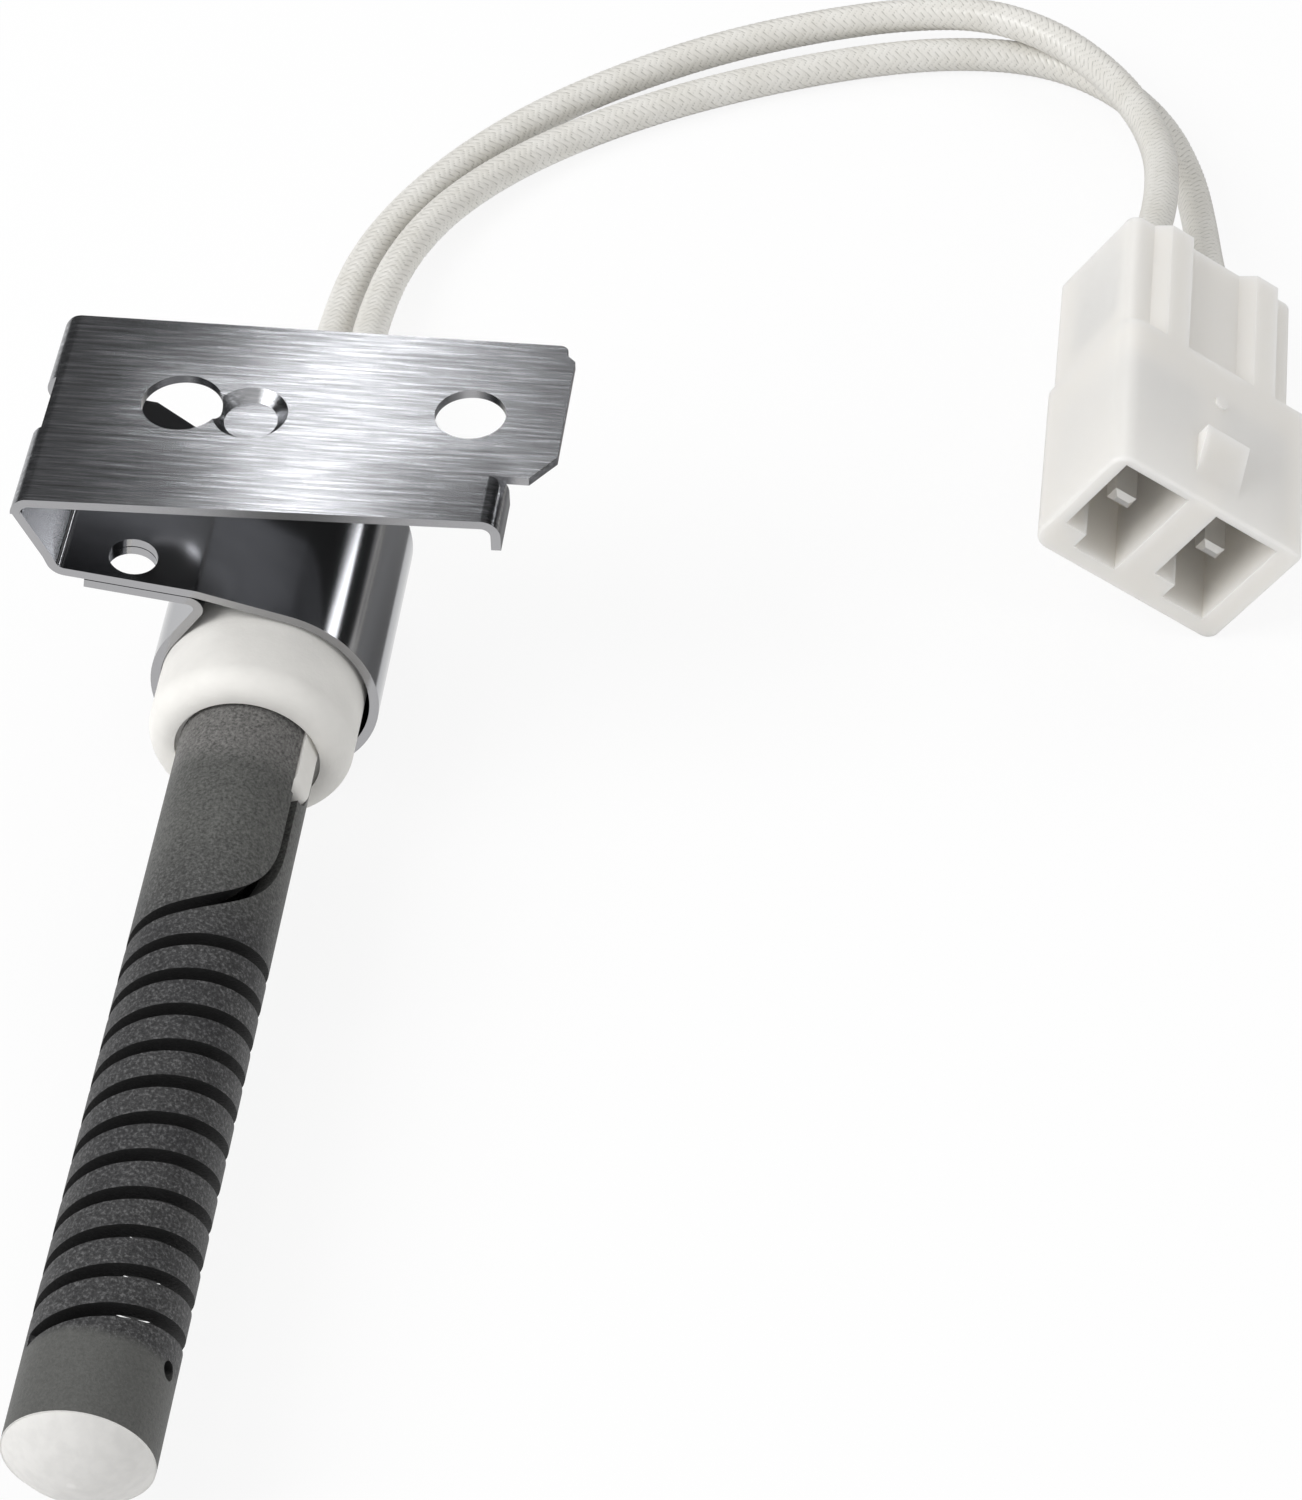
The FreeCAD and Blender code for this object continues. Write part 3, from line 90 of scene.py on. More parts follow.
# Lamps: name, place, width, height, power, and whether shiny faces show the lamp
LAMPS = (
    ("Left window", (-0.55, -0.25, 0.55), 0.5, 0.5, 4.4, True),
    ("Back panel", (0.22, 0.62, 0.55), 0.42, 0.35, 0.7, False),
    ("Right panel", (0.65, -0.15, 0.35), 0.25, 0.5, 0.7, False),
    ("Plate strip", (-0.140, 0.58, 0.61), 0.03, 0.4, 0.40, True),
    ("Loop strip", (0.55, 0.58, 0.24), 0.03, 0.16, 0.12, True),
)

# The share of the floor that is plain white to the eye; the rest shows shadows
FLOOR_WHITE = 0.88
FLOOR_REACH = 3.0
FLOOR_DROP = 0.0001

# The drape behind the object and the sheet on the floor, which only shiny faces show
CLOTH_REACH = 1.5
SHEET_DROP = 0.00005
DRAPE_TOP = 2.8
DRAPE_TONE = 0.04
SHEET_TONE = 0.35

# Points that the two leads are drawn to, from the ceramic's cement to the plug, in metres
LEAD_ROUTES = {
    "lead_1": (
        (-0.02058, 0.00643, -0.02412),
        (-0.02058, 0.01643, -0.02412),
        (-0.02093, 0.02743, -0.02672),
        (-0.02173, 0.03843, -0.03072),
        (-0.02223, 0.04893, -0.03302),
        (-0.02123, 0.05843, -0.03302),
        (-0.01803, 0.06763, -0.03302),
        (-0.01283, 0.07643, -0.03302),
        (-0.00603, 0.08463, -0.03302),
        (0.00257, 0.09183, -0.03282),
        (0.01257, 0.09773, -0.03232),
        (0.02317, 0.10173, -0.03162),
        (0.03297, 0.10333, -0.03052),
        (0.04157, 0.10243, -0.02922),
        (0.04917, 0.09883, -0.02912),
        (0.05497, 0.09303, -0.02912),
        (0.05897, 0.08563, -0.02842),
        (0.06117, 0.07703, -0.02682),
        (0.06157, 0.06823, -0.02472),
        (0.06097, 0.05943, -0.02252),
        (0.05928, 0.04891, -0.01972),
        (0.05928, 0.04191, -0.01972),
    ),
    "lead_2": (
        (-0.01668, 0.00643, -0.02412),
        (-0.01668, 0.01643, -0.02412),
        (-0.01693, 0.02743, -0.02622),
        (-0.01773, 0.03843, -0.02912),
        (-0.01813, 0.04843, -0.03122),
        (-0.01703, 0.05743, -0.03152),
        (-0.01403, 0.06603, -0.03192),
        (-0.00903, 0.07403, -0.03252),
        (-0.00223, 0.08123, -0.03302),
        (0.00657, 0.08753, -0.03302),
        (0.01677, 0.09303, -0.03302),
        (0.02797, 0.09763, -0.03302),
        (0.03837, 0.10013, -0.03302),
        (0.04777, 0.09993, -0.03302),
        (0.05557, 0.09613, -0.03302),
        (0.06117, 0.08943, -0.03302),
        (0.06437, 0.08083, -0.03282),
        (0.06577, 0.07183, -0.03172),
        (0.06657, 0.06283, -0.02972),
        (0.06803, 0.04891, -0.02553),
        (0.06803, 0.04191, -0.02553),
    ),
}


# Sizes and colours that a user may change
class IgniterLeads(bpy.types.PropertyGroup):
    diameter: bpy.props.FloatProperty(
        name="Lead diameter", description="Over the braid", default=0.0036, unit="LENGTH")
    strands: bpy.props.IntProperty(
        name="Braid strands", description="Strands laid each way round a lead", default=12, min=4)
    lay: bpy.props.FloatProperty(
        name="Braid lay", description="Length of one strand's turn", default=0.0096, unit="LENGTH")
    relief: bpy.props.FloatProperty(
        name="Braid relief", description="How far the strands stand out", default=0.00011,
        precision=6, unit="LENGTH")
    step: bpy.props.FloatProperty(
        name="Braid step", description="Distance between rings of the braid's surface",
        default=0.00017, precision=6, unit="LENGTH")
    around: bpy.props.IntProperty(
        name="Braid sides", description="Points round each ring of the braid's surface", default=48)
    colour: bpy.props.FloatVectorProperty(
        name="Braid colour", description="Glass fibre under clear varnish", subtype="COLOR",
        size=3, min=0, max=1, default=(0.80, 0.785, 0.745))
    # Painted shade in the grooves between the strands
    groove_shade: bpy.props.FloatVectorProperty(
        name="Painted groove shade", description="Between the strands", subtype="COLOR",
        size=3, min=0, max=1, default=(0.44, 0.43, 0.40))


class IgniterFinishes(bpy.types.PropertyGroup):
    steel: bpy.props.FloatVectorProperty(
        name="Steel", description="The bracket's sheet", subtype="COLOR",
        size=3, min=0, max=1, default=(0.31, 0.315, 0.33))
    steel_edge: bpy.props.FloatVectorProperty(
        name="Cut steel", description="Sheared edges of the bracket", subtype="COLOR",
        size=3, min=0, max=1, default=(0.40, 0.40, 0.41))
    carbide: bpy.props.FloatVectorProperty(
        name="Silicon carbide", description="The spiral's grey grain", subtype="COLOR",
        size=3, min=0, max=1, default=(0.055, 0.055, 0.056))
    carbide_light: bpy.props.FloatVectorProperty(
        name="Light grain", description="Lighter grains of the spiral", subtype="COLOR",
        size=3, min=0, max=1, default=(0.15, 0.15, 0.15))
    metallised: bpy.props.FloatVectorProperty(
        name="Contact zone", description="Sprayed metal at the spiral's root", subtype="COLOR",
        size=3, min=0, max=1, default=(0.145, 0.142, 0.137))
    tip: bpy.props.FloatVectorProperty(
        name="Tip", description="Bare band between the spiral and the cap", subtype="COLOR",
        size=3, min=0, max=1, default=(0.098, 0.099, 0.094))
    ceramic: bpy.props.FloatVectorProperty(
        name="Ceramic", description="Fired collar round the spiral's root", subtype="COLOR",
        size=3, min=0, max=1, default=(0.86, 0.845, 0.81))
    cement: bpy.props.FloatVectorProperty(
        name="Cement", description="Cap, sleeve and rear seal", subtype="COLOR",
        size=3, min=0, max=1, default=(0.76, 0.75, 0.73))
    nylon: bpy.props.FloatVectorProperty(
        name="Nylon", description="The plug's housing", subtype="COLOR",
        size=3, min=0, max=1, default=(0.82, 0.80, 0.765))
    tinned: bpy.props.FloatVectorProperty(
        name="Tinned metal", description="Pins, barrels and clips", subtype="COLOR",
        size=3, min=0, max=1, default=(0.70, 0.69, 0.67))
    edge_round: bpy.props.FloatProperty(
        name="Edge break", description="Broken edge of the sheet and the mouldings",
        default=0.00012, precision=6, unit="LENGTH")


class IgniterStudio(bpy.types.PropertyGroup):
    floor: bpy.props.FloatVectorProperty(
        name="Floor", description="Plain pale floor", subtype="COLOR",
        size=3, min=0, max=1, default=(0.92, 0.92, 0.92))
    lens: bpy.props.FloatProperty(
        name="Lens", description="Focal length on a 36 mm long side", default=110.85)
    daylight: bpy.props.FloatProperty(
        name="Room light", description="Strength of the even light", default=0.50)


# Materials
def put(tree, socket, value):
    """Feeds a socket from another socket, or with a plain value."""
    if isinstance(value, bpy.types.NodeSocket):
        tree.links.new(value, socket)
    else:
        socket.default_value = value


def node(tree, kind, **inputs):
    made = tree.nodes.new(kind)
    for name, value in inputs.items():
        put(tree, made.inputs[name.replace("_", " ")], value)
    return made


def new_material(name, **values):
    """A material whose shader has the given values, named as its sockets are."""
    material = bpy.data.materials.new(name)
    material.use_nodes = True
    tree = material.node_tree
    shader = tree.nodes["Principled BSDF"]
    for socket, value in values.items():
        shader.inputs[socket.replace("_", " ")].default_value = value
    return material, tree, shader


def tinted(colour, share=1.0):
    return tuple(min(1.0, part * share) for part in colour)


def calculate(tree, operation, *values):
    made = tree.nodes.new("ShaderNodeMath")
    made.operation = operation
    for socket, value in zip(made.inputs, values):
        put(tree, socket, value)
    return made.outputs[0]


def noise(tree, scale, detail=2.0, roughness=0.5, stretch=(1, 1, 1), shift=(0, 0, 0)):
    """Noise in the piece's own frame, stretched by a scale for each axis."""
    place = tree.nodes.new("ShaderNodeTexCoord")
    mapping = node(
        tree, "ShaderNodeMapping", Vector=place.outputs["Object"], Scale=stretch, Location=shift)
    made = node(
        tree, "ShaderNodeTexNoise", Vector=mapping.outputs["Vector"],
        Scale=scale, Detail=detail, Roughness=roughness)
    return made.outputs["Fac"]


def steps(tree, value, *stops):
    """A ramp from a value to colours, as (position, colour) stops."""
    ramp = tree.nodes.new("ShaderNodeValToRGB")
    points = ramp.color_ramp.elements
    while len(points) < len(stops):
        points.new(0.5)
    for point, (position, colour) in zip(points, stops):
        point.position = position
        point.color = (*colour, 1)
    put(tree, ramp.inputs["Fac"], value)
    return ramp.outputs["Color"]


def blend(tree, share, first, second, kind="MIX"):
    mix = tree.nodes.new("ShaderNodeMix")
    mix.data_type = "RGBA"
    mix.blend_type = kind
    sockets = (mix.inputs[0], mix.inputs[6], mix.inputs[7])
    for socket, value in zip(sockets, (share, first, second)):
        put(tree, socket, value)
    return mix.outputs[2]


def raise_grain(tree, shader, height, distance, strength):
    bump = node(tree, "ShaderNodeBump", Height=height, Distance=distance, Strength=strength)
    put(tree, shader.inputs["Normal"], bump.outputs["Normal"])


def reach(tree, value, limits):
    """A value's place between two limits, from 0 to 1."""
    made = node(
        tree, "ShaderNodeMapRange", Value=value, From_Min=limits[0], From_Max=limits[1])
    return made.outputs["Result"]


def between(tree, value, low, high):
    """Goes from low to high as a value goes from 0 to 1."""
    made = node(tree, "ShaderNodeMapRange", Value=value, To_Min=low, To_Max=high)
    return made.outputs["Result"]


def axis_value(tree, output, axis):
    """One axis of the place or of the normal, in the piece's own frame."""
    place = tree.nodes.new("ShaderNodeTexCoord")
    split = node(tree, "ShaderNodeSeparateXYZ", Vector=place.outputs[output])
    return split.outputs[axis]


def frontness(tree):
    """How squarely a face looks to the front or to the back, from 0 to 1."""
    return calculate(tree, "ABSOLUTE", axis_value(tree, "Normal", "Y"))


def brushed_steel(finishes):
    """Sheet steel: the plate is brushed from side to side, the folds below it are smooth."""
    material, tree, shader = new_material("Brushed steel", Metallic=1.0)
    steel = finishes.steel
    brush = noise(tree, 1.0, detail=4.0, roughness=0.7, stretch=(110, 2600, 2600))
    plate = reach(tree, axis_value(tree, "Object", "Z"), PLATE_START)
    streaks = steps(
        tree, brush, (0.34, tinted(steel, 0.55)), (0.54, tinted(steel)), (0.74, tinted(steel, 1.8)))
    face = blend(tree, plate, (*steel, 1), streaks)
    cut = reach(tree, frontness(tree), CUT_EDGE)
    put(tree, shader.inputs["Base Color"], blend(tree, cut, face, (*finishes.steel_edge, 1)))
    put(tree, shader.inputs["Roughness"], between(tree, plate, 0.13, 0.24))
    # The brushing scatters light across its lines
    across = node(tree, "ShaderNodeCombineXYZ", Y=1.0)
    put(tree, shader.inputs["Tangent"], across.outputs[0])
    put(tree, shader.inputs["Anisotropic"], calculate(tree, "MULTIPLY", plate, 0.8))
    raise_grain(tree, shader, calculate(tree, "MULTIPLY", plate, brush), 0.00003, 0.25)
    return material


def fired_ceramic(finishes):
    material, tree, shader = new_material("Fired ceramic", Roughness=0.62)
    cloud = noise(tree, 120.0, detail=4.0)
    ceramic = finishes.ceramic
    colour = steps(tree, cloud, (0.35, tinted(ceramic, 0.92)), (0.65, tinted(ceramic, 1.05)))
    put(tree, shader.inputs["Base Color"], colour)
    raise_grain(tree, shader, noise(tree, 2600.0), 0.00004, 0.5)
    return material


def grained_carbide(finishes):
    """Grey grain, with a sprayed contact zone at the root, a bare band at the tip and painted shade
    on the slots' walls.
    """
    material, tree, shader = new_material(
        "Silicon carbide", Roughness=0.55, Specular_IOR_Level=0.35)
    grain = noise(tree, 3300.0, detail=3.0, roughness=0.75)
    cloud = noise(tree, 160.0, detail=3.0, shift=(2, 5, 1))
    body = steps(
        tree, grain, (0.36, tinted(finishes.carbide, 0.45)), (0.52, tinted(finishes.carbide)),
        (0.66, tinted(finishes.carbide_light)))
    tone = steps(tree, cloud, (0.30, (0.72, 0.72, 0.74)), (0.70, (1.0, 1.0, 1.0)))
    colour = blend(tree, 1.0, body, tone, "MULTIPLY")

    # The zones along the tube have borders that wander a little
    along = axis_value(tree, "Object", "Y")
    wander = calculate(tree, "MULTIPLY_ADD", cloud, ZONE_WANDER, along)
    for limits, tint, (low, dark), (high, light) in (
        (PALE_BODY, finishes.tip, (0.34, 0.5), (0.66, 1.5)),
        (TIP_BAND, finishes.tip, (0.30, 0.78), (0.70, 1.2)),
        (CONTACT_ZONE, finishes.metallised, (0.34, 0.45), (0.66, 1.6)),
    ):
        band = steps(tree, grain, (low, tinted(tint, dark)), (high, tinted(tint, light)))
        colour = blend(tree, reach(tree, wander, limits), colour, band)

    # The slots' walls get painted shade, a darker copy of the grain's colour, and cement is wiped
    # over the tube's end
    painted_slot_shade = reach(tree, frontness(tree), SLOT_WALL_SHADE)
    colour = blend(tree, painted_slot_shade, colour, (*tinted(finishes.carbide, 0.25), 1))
    colour = blend(tree, reach(tree, along, END_FACE), colour, (*finishes.cement, 1))
    put(tree, shader.inputs["Base Color"], colour)
    raise_grain(tree, shader, grain, 0.00010, 0.7)
    return material


def white_cement(finishes):
    material, tree, shader = new_material("White cement", Roughness=0.8)
    grain = noise(tree, 900.0, detail=4.0)
    cement = finishes.cement
    colour = steps(tree, grain, (0.35, tinted(cement, 0.94)), (0.6, tinted(cement)))
    put(tree, shader.inputs["Base Color"], colour)
    raise_grain(tree, shader, grain, 0.00008, 0.4)
    return material


def plug_nylon(finishes):
    """Nylon lets some light through its walls."""
    material, tree, shader = new_material(
        "Plug nylon", Base_Color=(*finishes.nylon, 1), Roughness=0.36,
        Subsurface_Weight=1.0, Subsurface_Radius=(1.0, 1.0, 1.0), Subsurface_Scale=0.0025)
    raise_grain(tree, shader, noise(tree, 700.0), 0.00003, 0.25)
    return material


def tinned_metal(finishes):
    material, tree, shader = new_material(
        "Tinned metal", Metallic=0.7, Base_Color=(*finishes.tinned, 1))
    put(tree, shader.inputs["Roughness"], between(tree, noise(tree, 900.0), 0.25, 0.5))
    return material


def varnished_braid(leads):
    material, tree, shader = new_material("Varnished braid", Roughness=0.30)
    lift = tree.nodes.new("ShaderNodeAttribute")
    lift.attribute_name = "lift"
    # The strands' low edges take the groove colour, which is painted shade between the strands
    strand = steps(
        tree, lift.outputs["Fac"], (0.0, tinted(leads.groove_shade)), (0.55, tinted(leads.colour)))
    soil = noise(tree, 240.0, detail=3.0)
    tone = steps(tree, soil, (0.30, (0.93, 0.925, 0.91)), (0.65, (1.0, 1.0, 1.0)))
    put(tree, shader.inputs["Base Color"], blend(tree, 1.0, strand, tone, "MULTIPLY"))
    return material


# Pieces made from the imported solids
def dressed_copy(name, material, round_by=0.0):
    """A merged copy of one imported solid, smooth where it curves, with its edges broken."""
    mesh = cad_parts[name].data.copy()
    mesh.name = f"{name}_finish"
    shape = bmesh.new()
    shape.from_mesh(mesh)
    bmesh.ops.remove_doubles(shape, verts=shape.verts, dist=MERGE_WITHIN)
    bmesh.ops.dissolve_degenerate(shape, edges=shape.edges, dist=MERGE_WITHIN)
    for face in shape.faces:
        face.smooth = True
    for edge in shape.edges:
        edge.smooth = len(edge.link_faces) == 2 and edge.calc_face_angle(0.0) < SMOOTH_UNDER
    shape.to_mesh(mesh)
    shape.free()
    mesh.materials.clear()
    mesh.materials.append(material)
    piece = bpy.data.objects.new(f"{name}_finish", mesh)
    bpy.context.scene.collection.objects.link(piece)
    if round_by > 0:
        bevel = piece.modifiers.new("Edge break", "BEVEL")
        bevel.width = round_by
        bevel.segments = 2
        bevel.limit_method = "ANGLE"
        bevel.angle_limit = SMOOTH_UNDER
        bevel.harden_normals = True
    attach(piece, "root")
    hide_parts(name)
    return piece


class IGNITER_OT_bracket(bpy.types.Operator):
    """Finish the folded strap bracket in brushed steel"""

    bl_idname = "igniter.bracket"
    bl_label = "Bracket"

    def execute(self, context):
        finishes = context.scene.igniter_finishes
        steel = brushed_steel(finishes)
        dressed_copy("bracket", steel, finishes.edge_round)
        return {"FINISHED"}


class IGNITER_OT_collar(bpy.types.Operator):
    """Finish the fired collar, the tip's cap, the cement ring and the rear seal"""

    bl_idname = "igniter.collar"
    bl_label = "Ceramic collar and cement"

    def execute(self, context):
        finishes = context.scene.igniter_finishes
        fired = fired_ceramic(finishes)
        cement = white_cement(finishes)
        dressed_copy("ceramic_base", fired)
        for name in ("end_plug", "cement_sleeve", "rear_seal"):
            dressed_copy(name, cement)
        return {"FINISHED"}


class IGNITER_OT_spiral(bpy.types.Operator):
    """Finish the slotted silicon carbide tube"""

    bl_idname = "igniter.spiral"
    bl_label = "Spiral"

    def execute(self, context):
        finishes = context.scene.igniter_finishes
        carbide = grained_carbide(finishes)
        dressed_copy("heating_element", carbide)
        return {"FINISHED"}


class IGNITER_OT_plug(bpy.types.Operator):
    """Finish the plug's housing, its pins, the clips and the bare wire ends"""

    bl_idname = "igniter.plug"
    bl_label = "Plug and terminals"

    def execute(self, context):
        finishes = context.scene.igniter_finishes
        nylon = plug_nylon(finishes)
        tinned = tinned_metal(finishes)
        housing = dressed_copy("connector_housing", nylon, finishes.edge_round)
        for name in ("pin_terminal_1", "pin_terminal_2", "terminal_clip_1", "terminal_clip_2"):
            dressed_copy(name, tinned)
        for name in (
            "base_conductor_1", "base_conductor_2", "plug_conductor_1", "plug_conductor_2",
        ):
            dressed_copy(name, tinned)
        return {"FINISHED"}


# Braided leads
def route_line(name):
    """The smooth centreline of one lead, as a mesh of joined points."""
    curve = bpy.data.curves.new(f"{name}_route", "CURVE")
    curve.dimensions = "3D"
    curve.resolution_u = 16
    spline = curve.splines.new("NURBS")
    points = LEAD_ROUTES[name]
    spline.points.add(len(points) - 1)
    for point, place in zip(spline.points, points):
        point.co = (*place, 1)
    spline.order_u = 3
    spline.use_endpoint_u = True
    holder = bpy.data.objects.new(f"{name}_route", curve)
    bpy.context.scene.collection.objects.link(holder)
    graph = bpy.context.evaluated_depsgraph_get()
    line = bpy.data.meshes.new_from_object(holder.evaluated_get(graph))
    bpy.data.objects.remove(holder)
    return line


class Tree:
    """A short way to write a Geometry Nodes tree."""

    def __init__(self, name, **inputs):
        self.group = bpy.data.node_groups.new(name, "GeometryNodeTree")
        face = self.group.interface
        face.new_socket("Geometry", in_out="INPUT", socket_type="NodeSocketGeometry")
        face.new_socket("Geometry", in_out="OUTPUT", socket_type="NodeSocketGeometry")
        for socket, kind in inputs.items():
            face.new_socket(socket, in_out="INPUT", socket_type=f"NodeSocket{kind}")
        self.given = self.group.nodes.new("NodeGroupInput").outputs
        self.end = self.group.nodes.new("NodeGroupOutput")

    def add(self, kind, inputs=(), **settings):
        made = self.group.nodes.new(kind)
        for name, value in settings.items():
            setattr(made, name, value)
        for socket, value in dict(inputs).items():
            put(self.group, made.inputs[socket], value)
        return made

    def math(self, operation, *values):
        return self.add("ShaderNodeMath", enumerate(values), operation=operation).outputs[0]

    def keep(self, line, name, value):
        """Keeps a value of a line's points, to be read after the sweep."""
        kept = self.add("GeometryNodeCaptureAttribute", {"Geometry": line}, domain="POINT")
        kept.capture_items.new("FLOAT", name)
        put(self.group, kept.inputs[name], value)
        return kept.outputs["Geometry"], kept.outputs[name]


def braid_tree():
    """Sweeps a round sleeve along a line and lifts strands that pass over two and under two."""
    tree = Tree(
        "Braided sleeve", Radius="Float", Strands="Int", Lay="Float", Relief="Float",
        Step="Float", Sides="Int", Finish="Material")
    given = tree.given
    line = tree.add("GeometryNodeMeshToCurve", {"Mesh": given["Geometry"]})
    even = tree.add(
        "GeometryNodeResampleCurve", {"Curve": line.outputs[0], "Length": given["Step"]},
        mode="LENGTH")
    place = tree.add("GeometryNodeSplineParameter")
    rail, along = tree.keep(even.outputs[0], "along", place.outputs["Length"])
    ring = tree.add(
        "GeometryNodeCurvePrimitiveCircle",
        {"Resolution": given["Sides"], "Radius": given["Radius"]}, mode="RADIUS")
    place = tree.add("GeometryNodeSplineParameter")
    outline, around = tree.keep(ring.outputs[0], "around", place.outputs["Factor"])
    sweep = tree.add(
        "GeometryNodeCurveToMesh", {"Curve": rail, "Profile Curve": outline, "Fill Caps": True})

    # Each point's place among the strands of the two hands
    turns = tree.math("DIVIDE", along, given["Lay"])
    hands = [
        tree.math("MULTIPLY", tree.math(hand, around, turns), given["Strands"])
        for hand in ("SUBTRACT", "ADD")
    ]
    counts = tree.math("ADD", *(tree.math("FLOOR", hand) for hand in hands))
    over = tree.math("LESS_THAN", tree.math("FLOORED_MODULO", counts, 4.0), 1.5)
    crowns = []
    for hand in hands:
        middle = tree.math("SUBTRACT", tree.math("FRACT", hand), 0.5)
        square = tree.math("MULTIPLY", middle, middle)
        crowns.append(tree.math("SUBTRACT", 1.0, tree.math("MULTIPLY", 4.0, square)))
    under = tree.math("SUBTRACT", 1.0, over)
    chosen = tree.math(
        "ADD", tree.math("MULTIPLY", over, crowns[0]), tree.math("MULTIPLY", under, crowns[1]))
    height = tree.math("MULTIPLY", tree.math("SUBTRACT", chosen, 0.5), given["Relief"])
    normal = tree.add("GeometryNodeInputNormal")
    lift = tree.add(
        "ShaderNodeVectorMath", {0: normal.outputs[0], "Scale": height}, operation="SCALE")
    kept = tree.add(
        "GeometryNodeStoreNamedAttribute",
        {"Geometry": sweep.outputs[0], "Name": "lift", "Value": chosen},
        data_type="FLOAT", domain="POINT")
    moved = tree.add(
        "GeometryNodeSetPosition", {"Geometry": kept.outputs[0], "Offset": lift.outputs[0]})
    smooth = tree.add("GeometryNodeSetShadeSmooth", {"Geometry": moved.outputs[0]})
    finish = tree.add(
        "GeometryNodeSetMaterial", {"Geometry": smooth.outputs[0], "Material": given["Finish"]})
    put(tree.group, tree.end.inputs[0], finish.outputs[0])
    return tree.group


def run_tree(group, mesh, name, values):
    """A plain mesh of what a Geometry Nodes tree makes of a mesh."""
    maker = bpy.data.objects.new(f"{name}_maker", mesh)
    bpy.context.scene.collection.objects.link(maker)
    modifier = maker.modifiers.new("Make", "NODES")
    modifier.node_group = group
    for item in group.interface.items_tree:
        if item.in_out == "INPUT" and item.name in values:
            modifier[item.identifier] = values[item.name]
    graph = bpy.context.evaluated_depsgraph_get()
    made = bpy.data.meshes.new_from_object(maker.evaluated_get(graph))
    made.name = name
    bpy.data.objects.remove(maker)
    piece = bpy.data.objects.new(name, made)
    bpy.context.scene.collection.objects.link(piece)
    return piece


class IGNITER_OT_leads(bpy.types.Operator):
    """Lay the two braided leads from the ceramic to the plug"""

    bl_idname = "igniter.leads"
    bl_label = "Braided leads"

    def execute(self, context):
        leads = context.scene.igniter_leads
        braid = varnished_braid(leads)
        group = braid_tree()
        for name, points in LEAD_ROUTES.items():
            line = route_line(name)
            piece = run_tree(group, line, f"{name}_braid", {
                "Radius": leads.diameter / 2 - leads.relief / 2,
                "Strands": leads.strands,
                "Lay": leads.lay,
                "Relief": leads.relief,
                "Step": leads.step,
                "Sides": leads.around,
                "Finish": braid,
            })
            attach(piece, "root")
            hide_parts(name)
        return {"FINISHED"}


# Studio
def seen_rays(tree):
    """1 for the rays that the eye follows: straight, off metal or through clear things."""
    path = tree.nodes.new("ShaderNodeLightPath")
    total = path.outputs["Is Camera Ray"]
    for ray in ("Is Glossy Ray", "Is Transmission Ray"):
        total = calculate(tree, "MAXIMUM", total, path.outputs[ray])
    return total


def flat_object(name, points, faces, material):
    mesh = bpy.data.meshes.new(name)
    mesh.from_pydata(points, [], faces)
    mesh.materials.append(material)
    made = bpy.data.objects.new(name, mesh)
    bpy.context.scene.collection.objects.link(made)
    return made


def lay_floor(studio):
    """A wide plain floor just under the strap's loop, white to the eye but for its shadows."""
    material, tree, shader = new_material(
        "Floor paper", Base_Color=(*studio.floor, 1), Roughness=0.9, Specular_IOR_Level=0.1)
    glow = tree.nodes.new("ShaderNodeEmission")
    mix = tree.nodes.new("ShaderNodeMixShader")
    put(tree, mix.inputs["Fac"], calculate(tree, "MULTIPLY", seen_rays(tree), FLOOR_WHITE))
    put(tree, mix.inputs[1], shader.outputs[0])
    put(tree, mix.inputs[2], glow.outputs[0])
    put(tree, tree.nodes["Material Output"].inputs["Surface"], mix.outputs[0])
    level = FLOOR_LEVEL - FLOOR_DROP
    corners = [
        (x * FLOOR_REACH, y * FLOOR_REACH, level) for x, y in ((-1, -1), (1, -1), (1, 1), (-1, 1))
    ]
    floor = flat_object("Floor", corners, [(0, 1, 2, 3)], material)


def shade_cloth(name, points, faces, tone):
    """A cloth of the studio that only shiny faces show."""
    material, tree, shader = new_material(name, Base_Color=(tone, tone, tone, 1), Roughness=1.0)
    cloth = flat_object(name, points, faces, material)
    for ray in ("camera", "diffuse", "transmission", "volume_scatter", "shadow"):
        setattr(cloth, f"visible_{ray}", False)


def hang_cloths():
    """A dark drape behind and beside the object, and a grey sheet on the floor behind it."""
    far = CLOTH_REACH
    line = [(-far, -0.6), (-far, far), (far, far), (far, -0.2)]
    drape = [(x, y, z) for x, y in line for z in (FLOOR_LEVEL, DRAPE_TOP)]
    shade_cloth("Dark drape", drape, [(0, 2, 3, 1), (2, 4, 5, 3), (4, 6, 7, 5)], DRAPE_TONE)
    level = FLOOR_LEVEL - SHEET_DROP
    corners = [(0, -0.03), (far, -0.03), (far, far), (0, far)]
    sheet = [(x, y, level) for x, y in corners]
    shade_cloth("Grey sheet", sheet, [(0, 1, 2, 3)], SHEET_TONE)


def light_room(scene, studio):
    """The room is white to the eye and an even light to the object."""
    world = bpy.data.worlds.new("Room")
    scene.world = world
    world.use_nodes = True
    tree = world.node_tree
    back = tree.nodes["Background"]
    back.inputs["Color"].default_value = (1, 1, 1, 1)
    put(tree, back.inputs["Strength"], between(tree, seen_rays(tree), studio.daylight, 1.0))
    for name, place, width, height, power, shown in LAMPS:
        data = bpy.data.lights.new(name, "AREA")
        data.shape = "RECTANGLE"
        data.size = width
        data.size_y = height
        data.energy = power
        lamp = bpy.data.objects.new(name, data)
        lamp.location = place
        lamp.rotation_mode = "QUATERNION"
        lamp.rotation_quaternion = Vector(place).to_track_quat("Z", "Y")
        lamp.visible_glossy = shown
        scene.collection.objects.link(lamp)


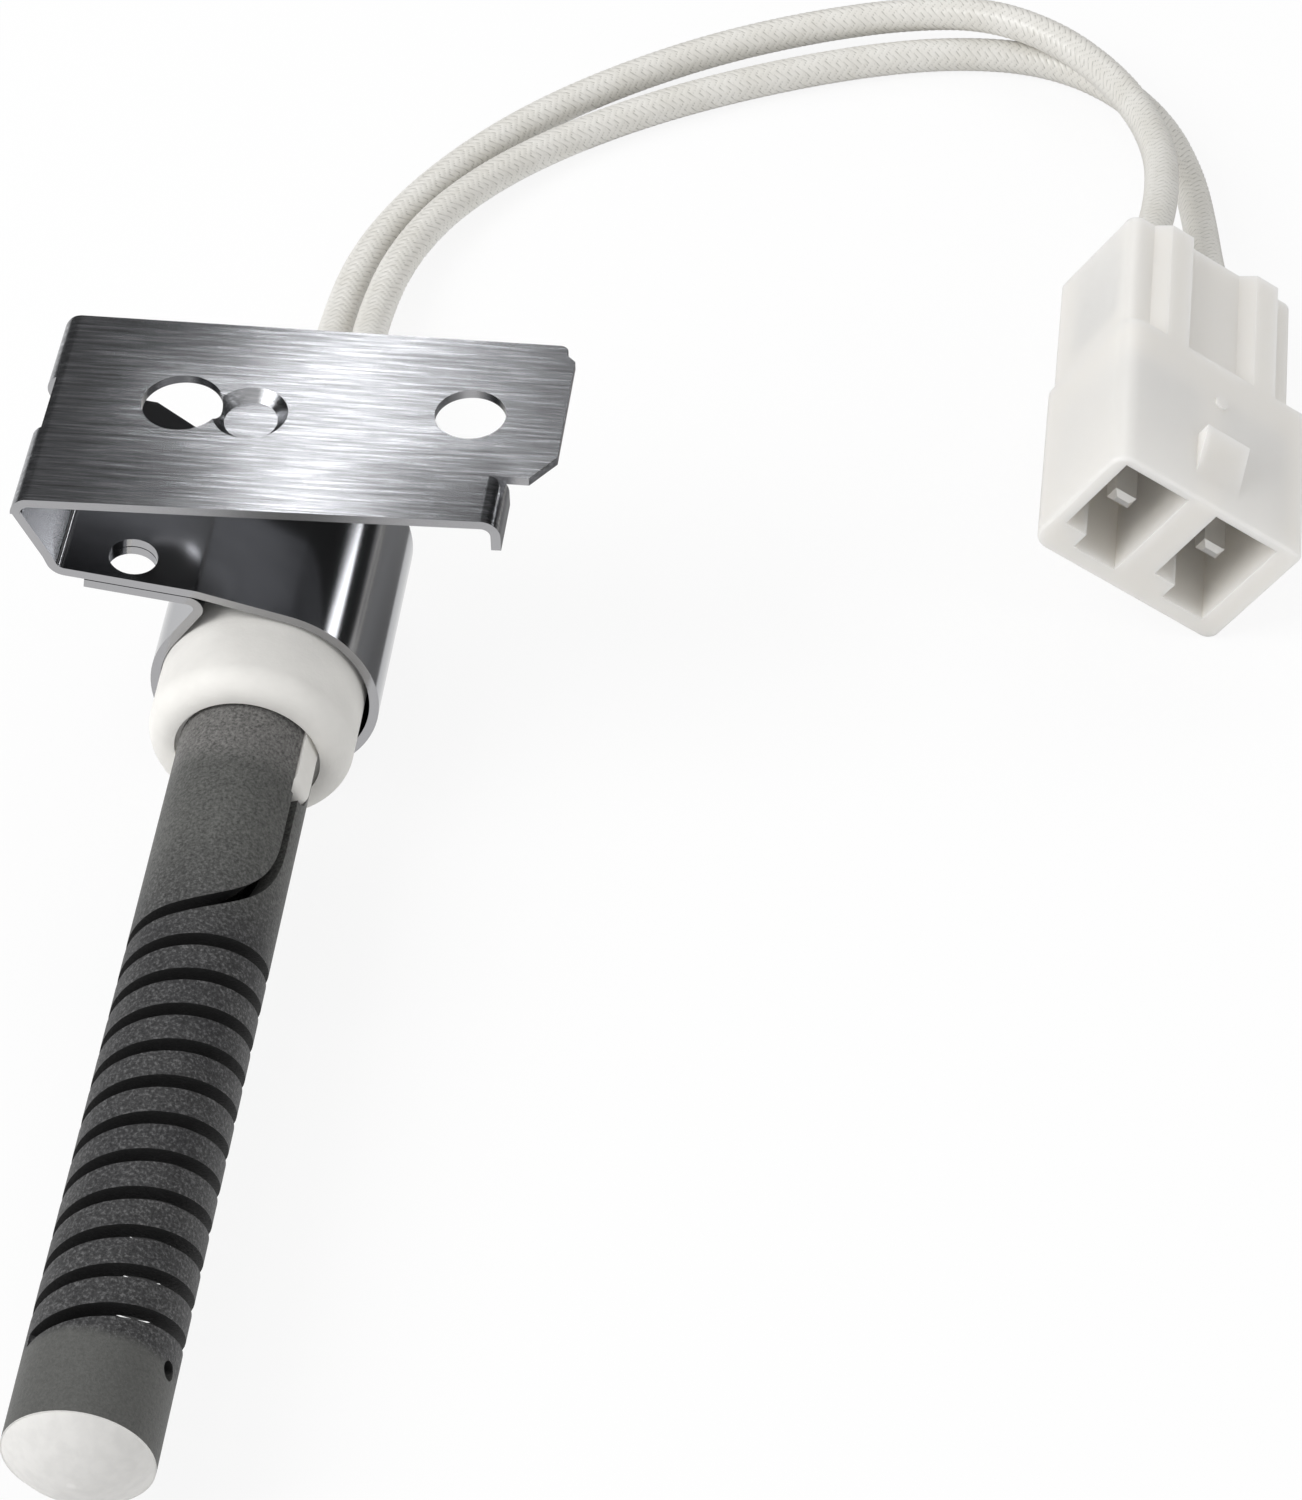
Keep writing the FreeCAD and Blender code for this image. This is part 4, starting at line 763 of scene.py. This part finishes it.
def set_camera(scene, studio):
    data = bpy.data.cameras.new("Camera")
    data.sensor_width = 36
    data.lens = studio.lens
    data.clip_start = 0.01
    data.clip_end = 20
    camera = bpy.data.objects.new("Camera", data)
    camera.matrix_world = Matrix(CAMERA_PLACE)
    scene.collection.objects.link(camera)
    scene.camera = camera


class IGNITER_OT_studio(bpy.types.Operator):
    """Set the floor, the soft lamps, the world and the camera"""

    bl_idname = "igniter.studio"
    bl_label = "Studio"

    def execute(self, context):
        scene = context.scene
        studio = scene.igniter_studio
        scene.view_settings.view_transform = "Standard"
        set_camera(scene, studio)
        lay_floor(studio)
        light_room(scene, studio)
        hang_cloths()
        return {"FINISHED"}


class IGNITER_PT_panel(bpy.types.Panel):
    bl_idname = "IGNITER_PT_panel"
    bl_label = "Hot surface igniter"
    bl_space_type = "VIEW_3D"
    bl_region_type = "UI"
    bl_category = "Igniter"

    def draw(self, context):
        for group in ("igniter_leads", "igniter_finishes", "igniter_studio"):
            values = getattr(context.scene, group)
            box = self.layout.box()
            for name in values.bl_rna.properties.keys():
                if name not in ("rna_type", "name"):
                    box.prop(values, name)
        for operator in OPERATORS:
            self.layout.operator(operator.bl_idname)


OPERATORS = (
    IGNITER_OT_studio,
    IGNITER_OT_bracket,
    IGNITER_OT_collar,
    IGNITER_OT_spiral,
    IGNITER_OT_plug,
    IGNITER_OT_leads,
)
GROUPS = {
    "igniter_leads": IgniterLeads,
    "igniter_finishes": IgniterFinishes,
    "igniter_studio": IgniterStudio,
}


def register():
    for group in GROUPS.values():
        bpy.utils.register_class(group)
    for name, group in GROUPS.items():
        setattr(bpy.types.Scene, name, bpy.props.PointerProperty(type=group))
    for operator in OPERATORS:
        bpy.utils.register_class(operator)
    bpy.utils.register_class(IGNITER_PT_panel)


def unregister():
    bpy.utils.unregister_class(IGNITER_PT_panel)
    for operator in reversed(OPERATORS):
        bpy.utils.unregister_class(operator)
    for name in GROUPS:
        delattr(bpy.types.Scene, name)
    for group in reversed(GROUPS.values()):
        bpy.utils.unregister_class(group)


def main():
    register()
    bpy.ops.igniter.studio()
    bpy.ops.igniter.bracket()
    bpy.ops.igniter.collar()
    bpy.ops.igniter.spiral()
    bpy.ops.igniter.plug()
    bpy.ops.igniter.leads()


if __name__ == "__main__":
    main()
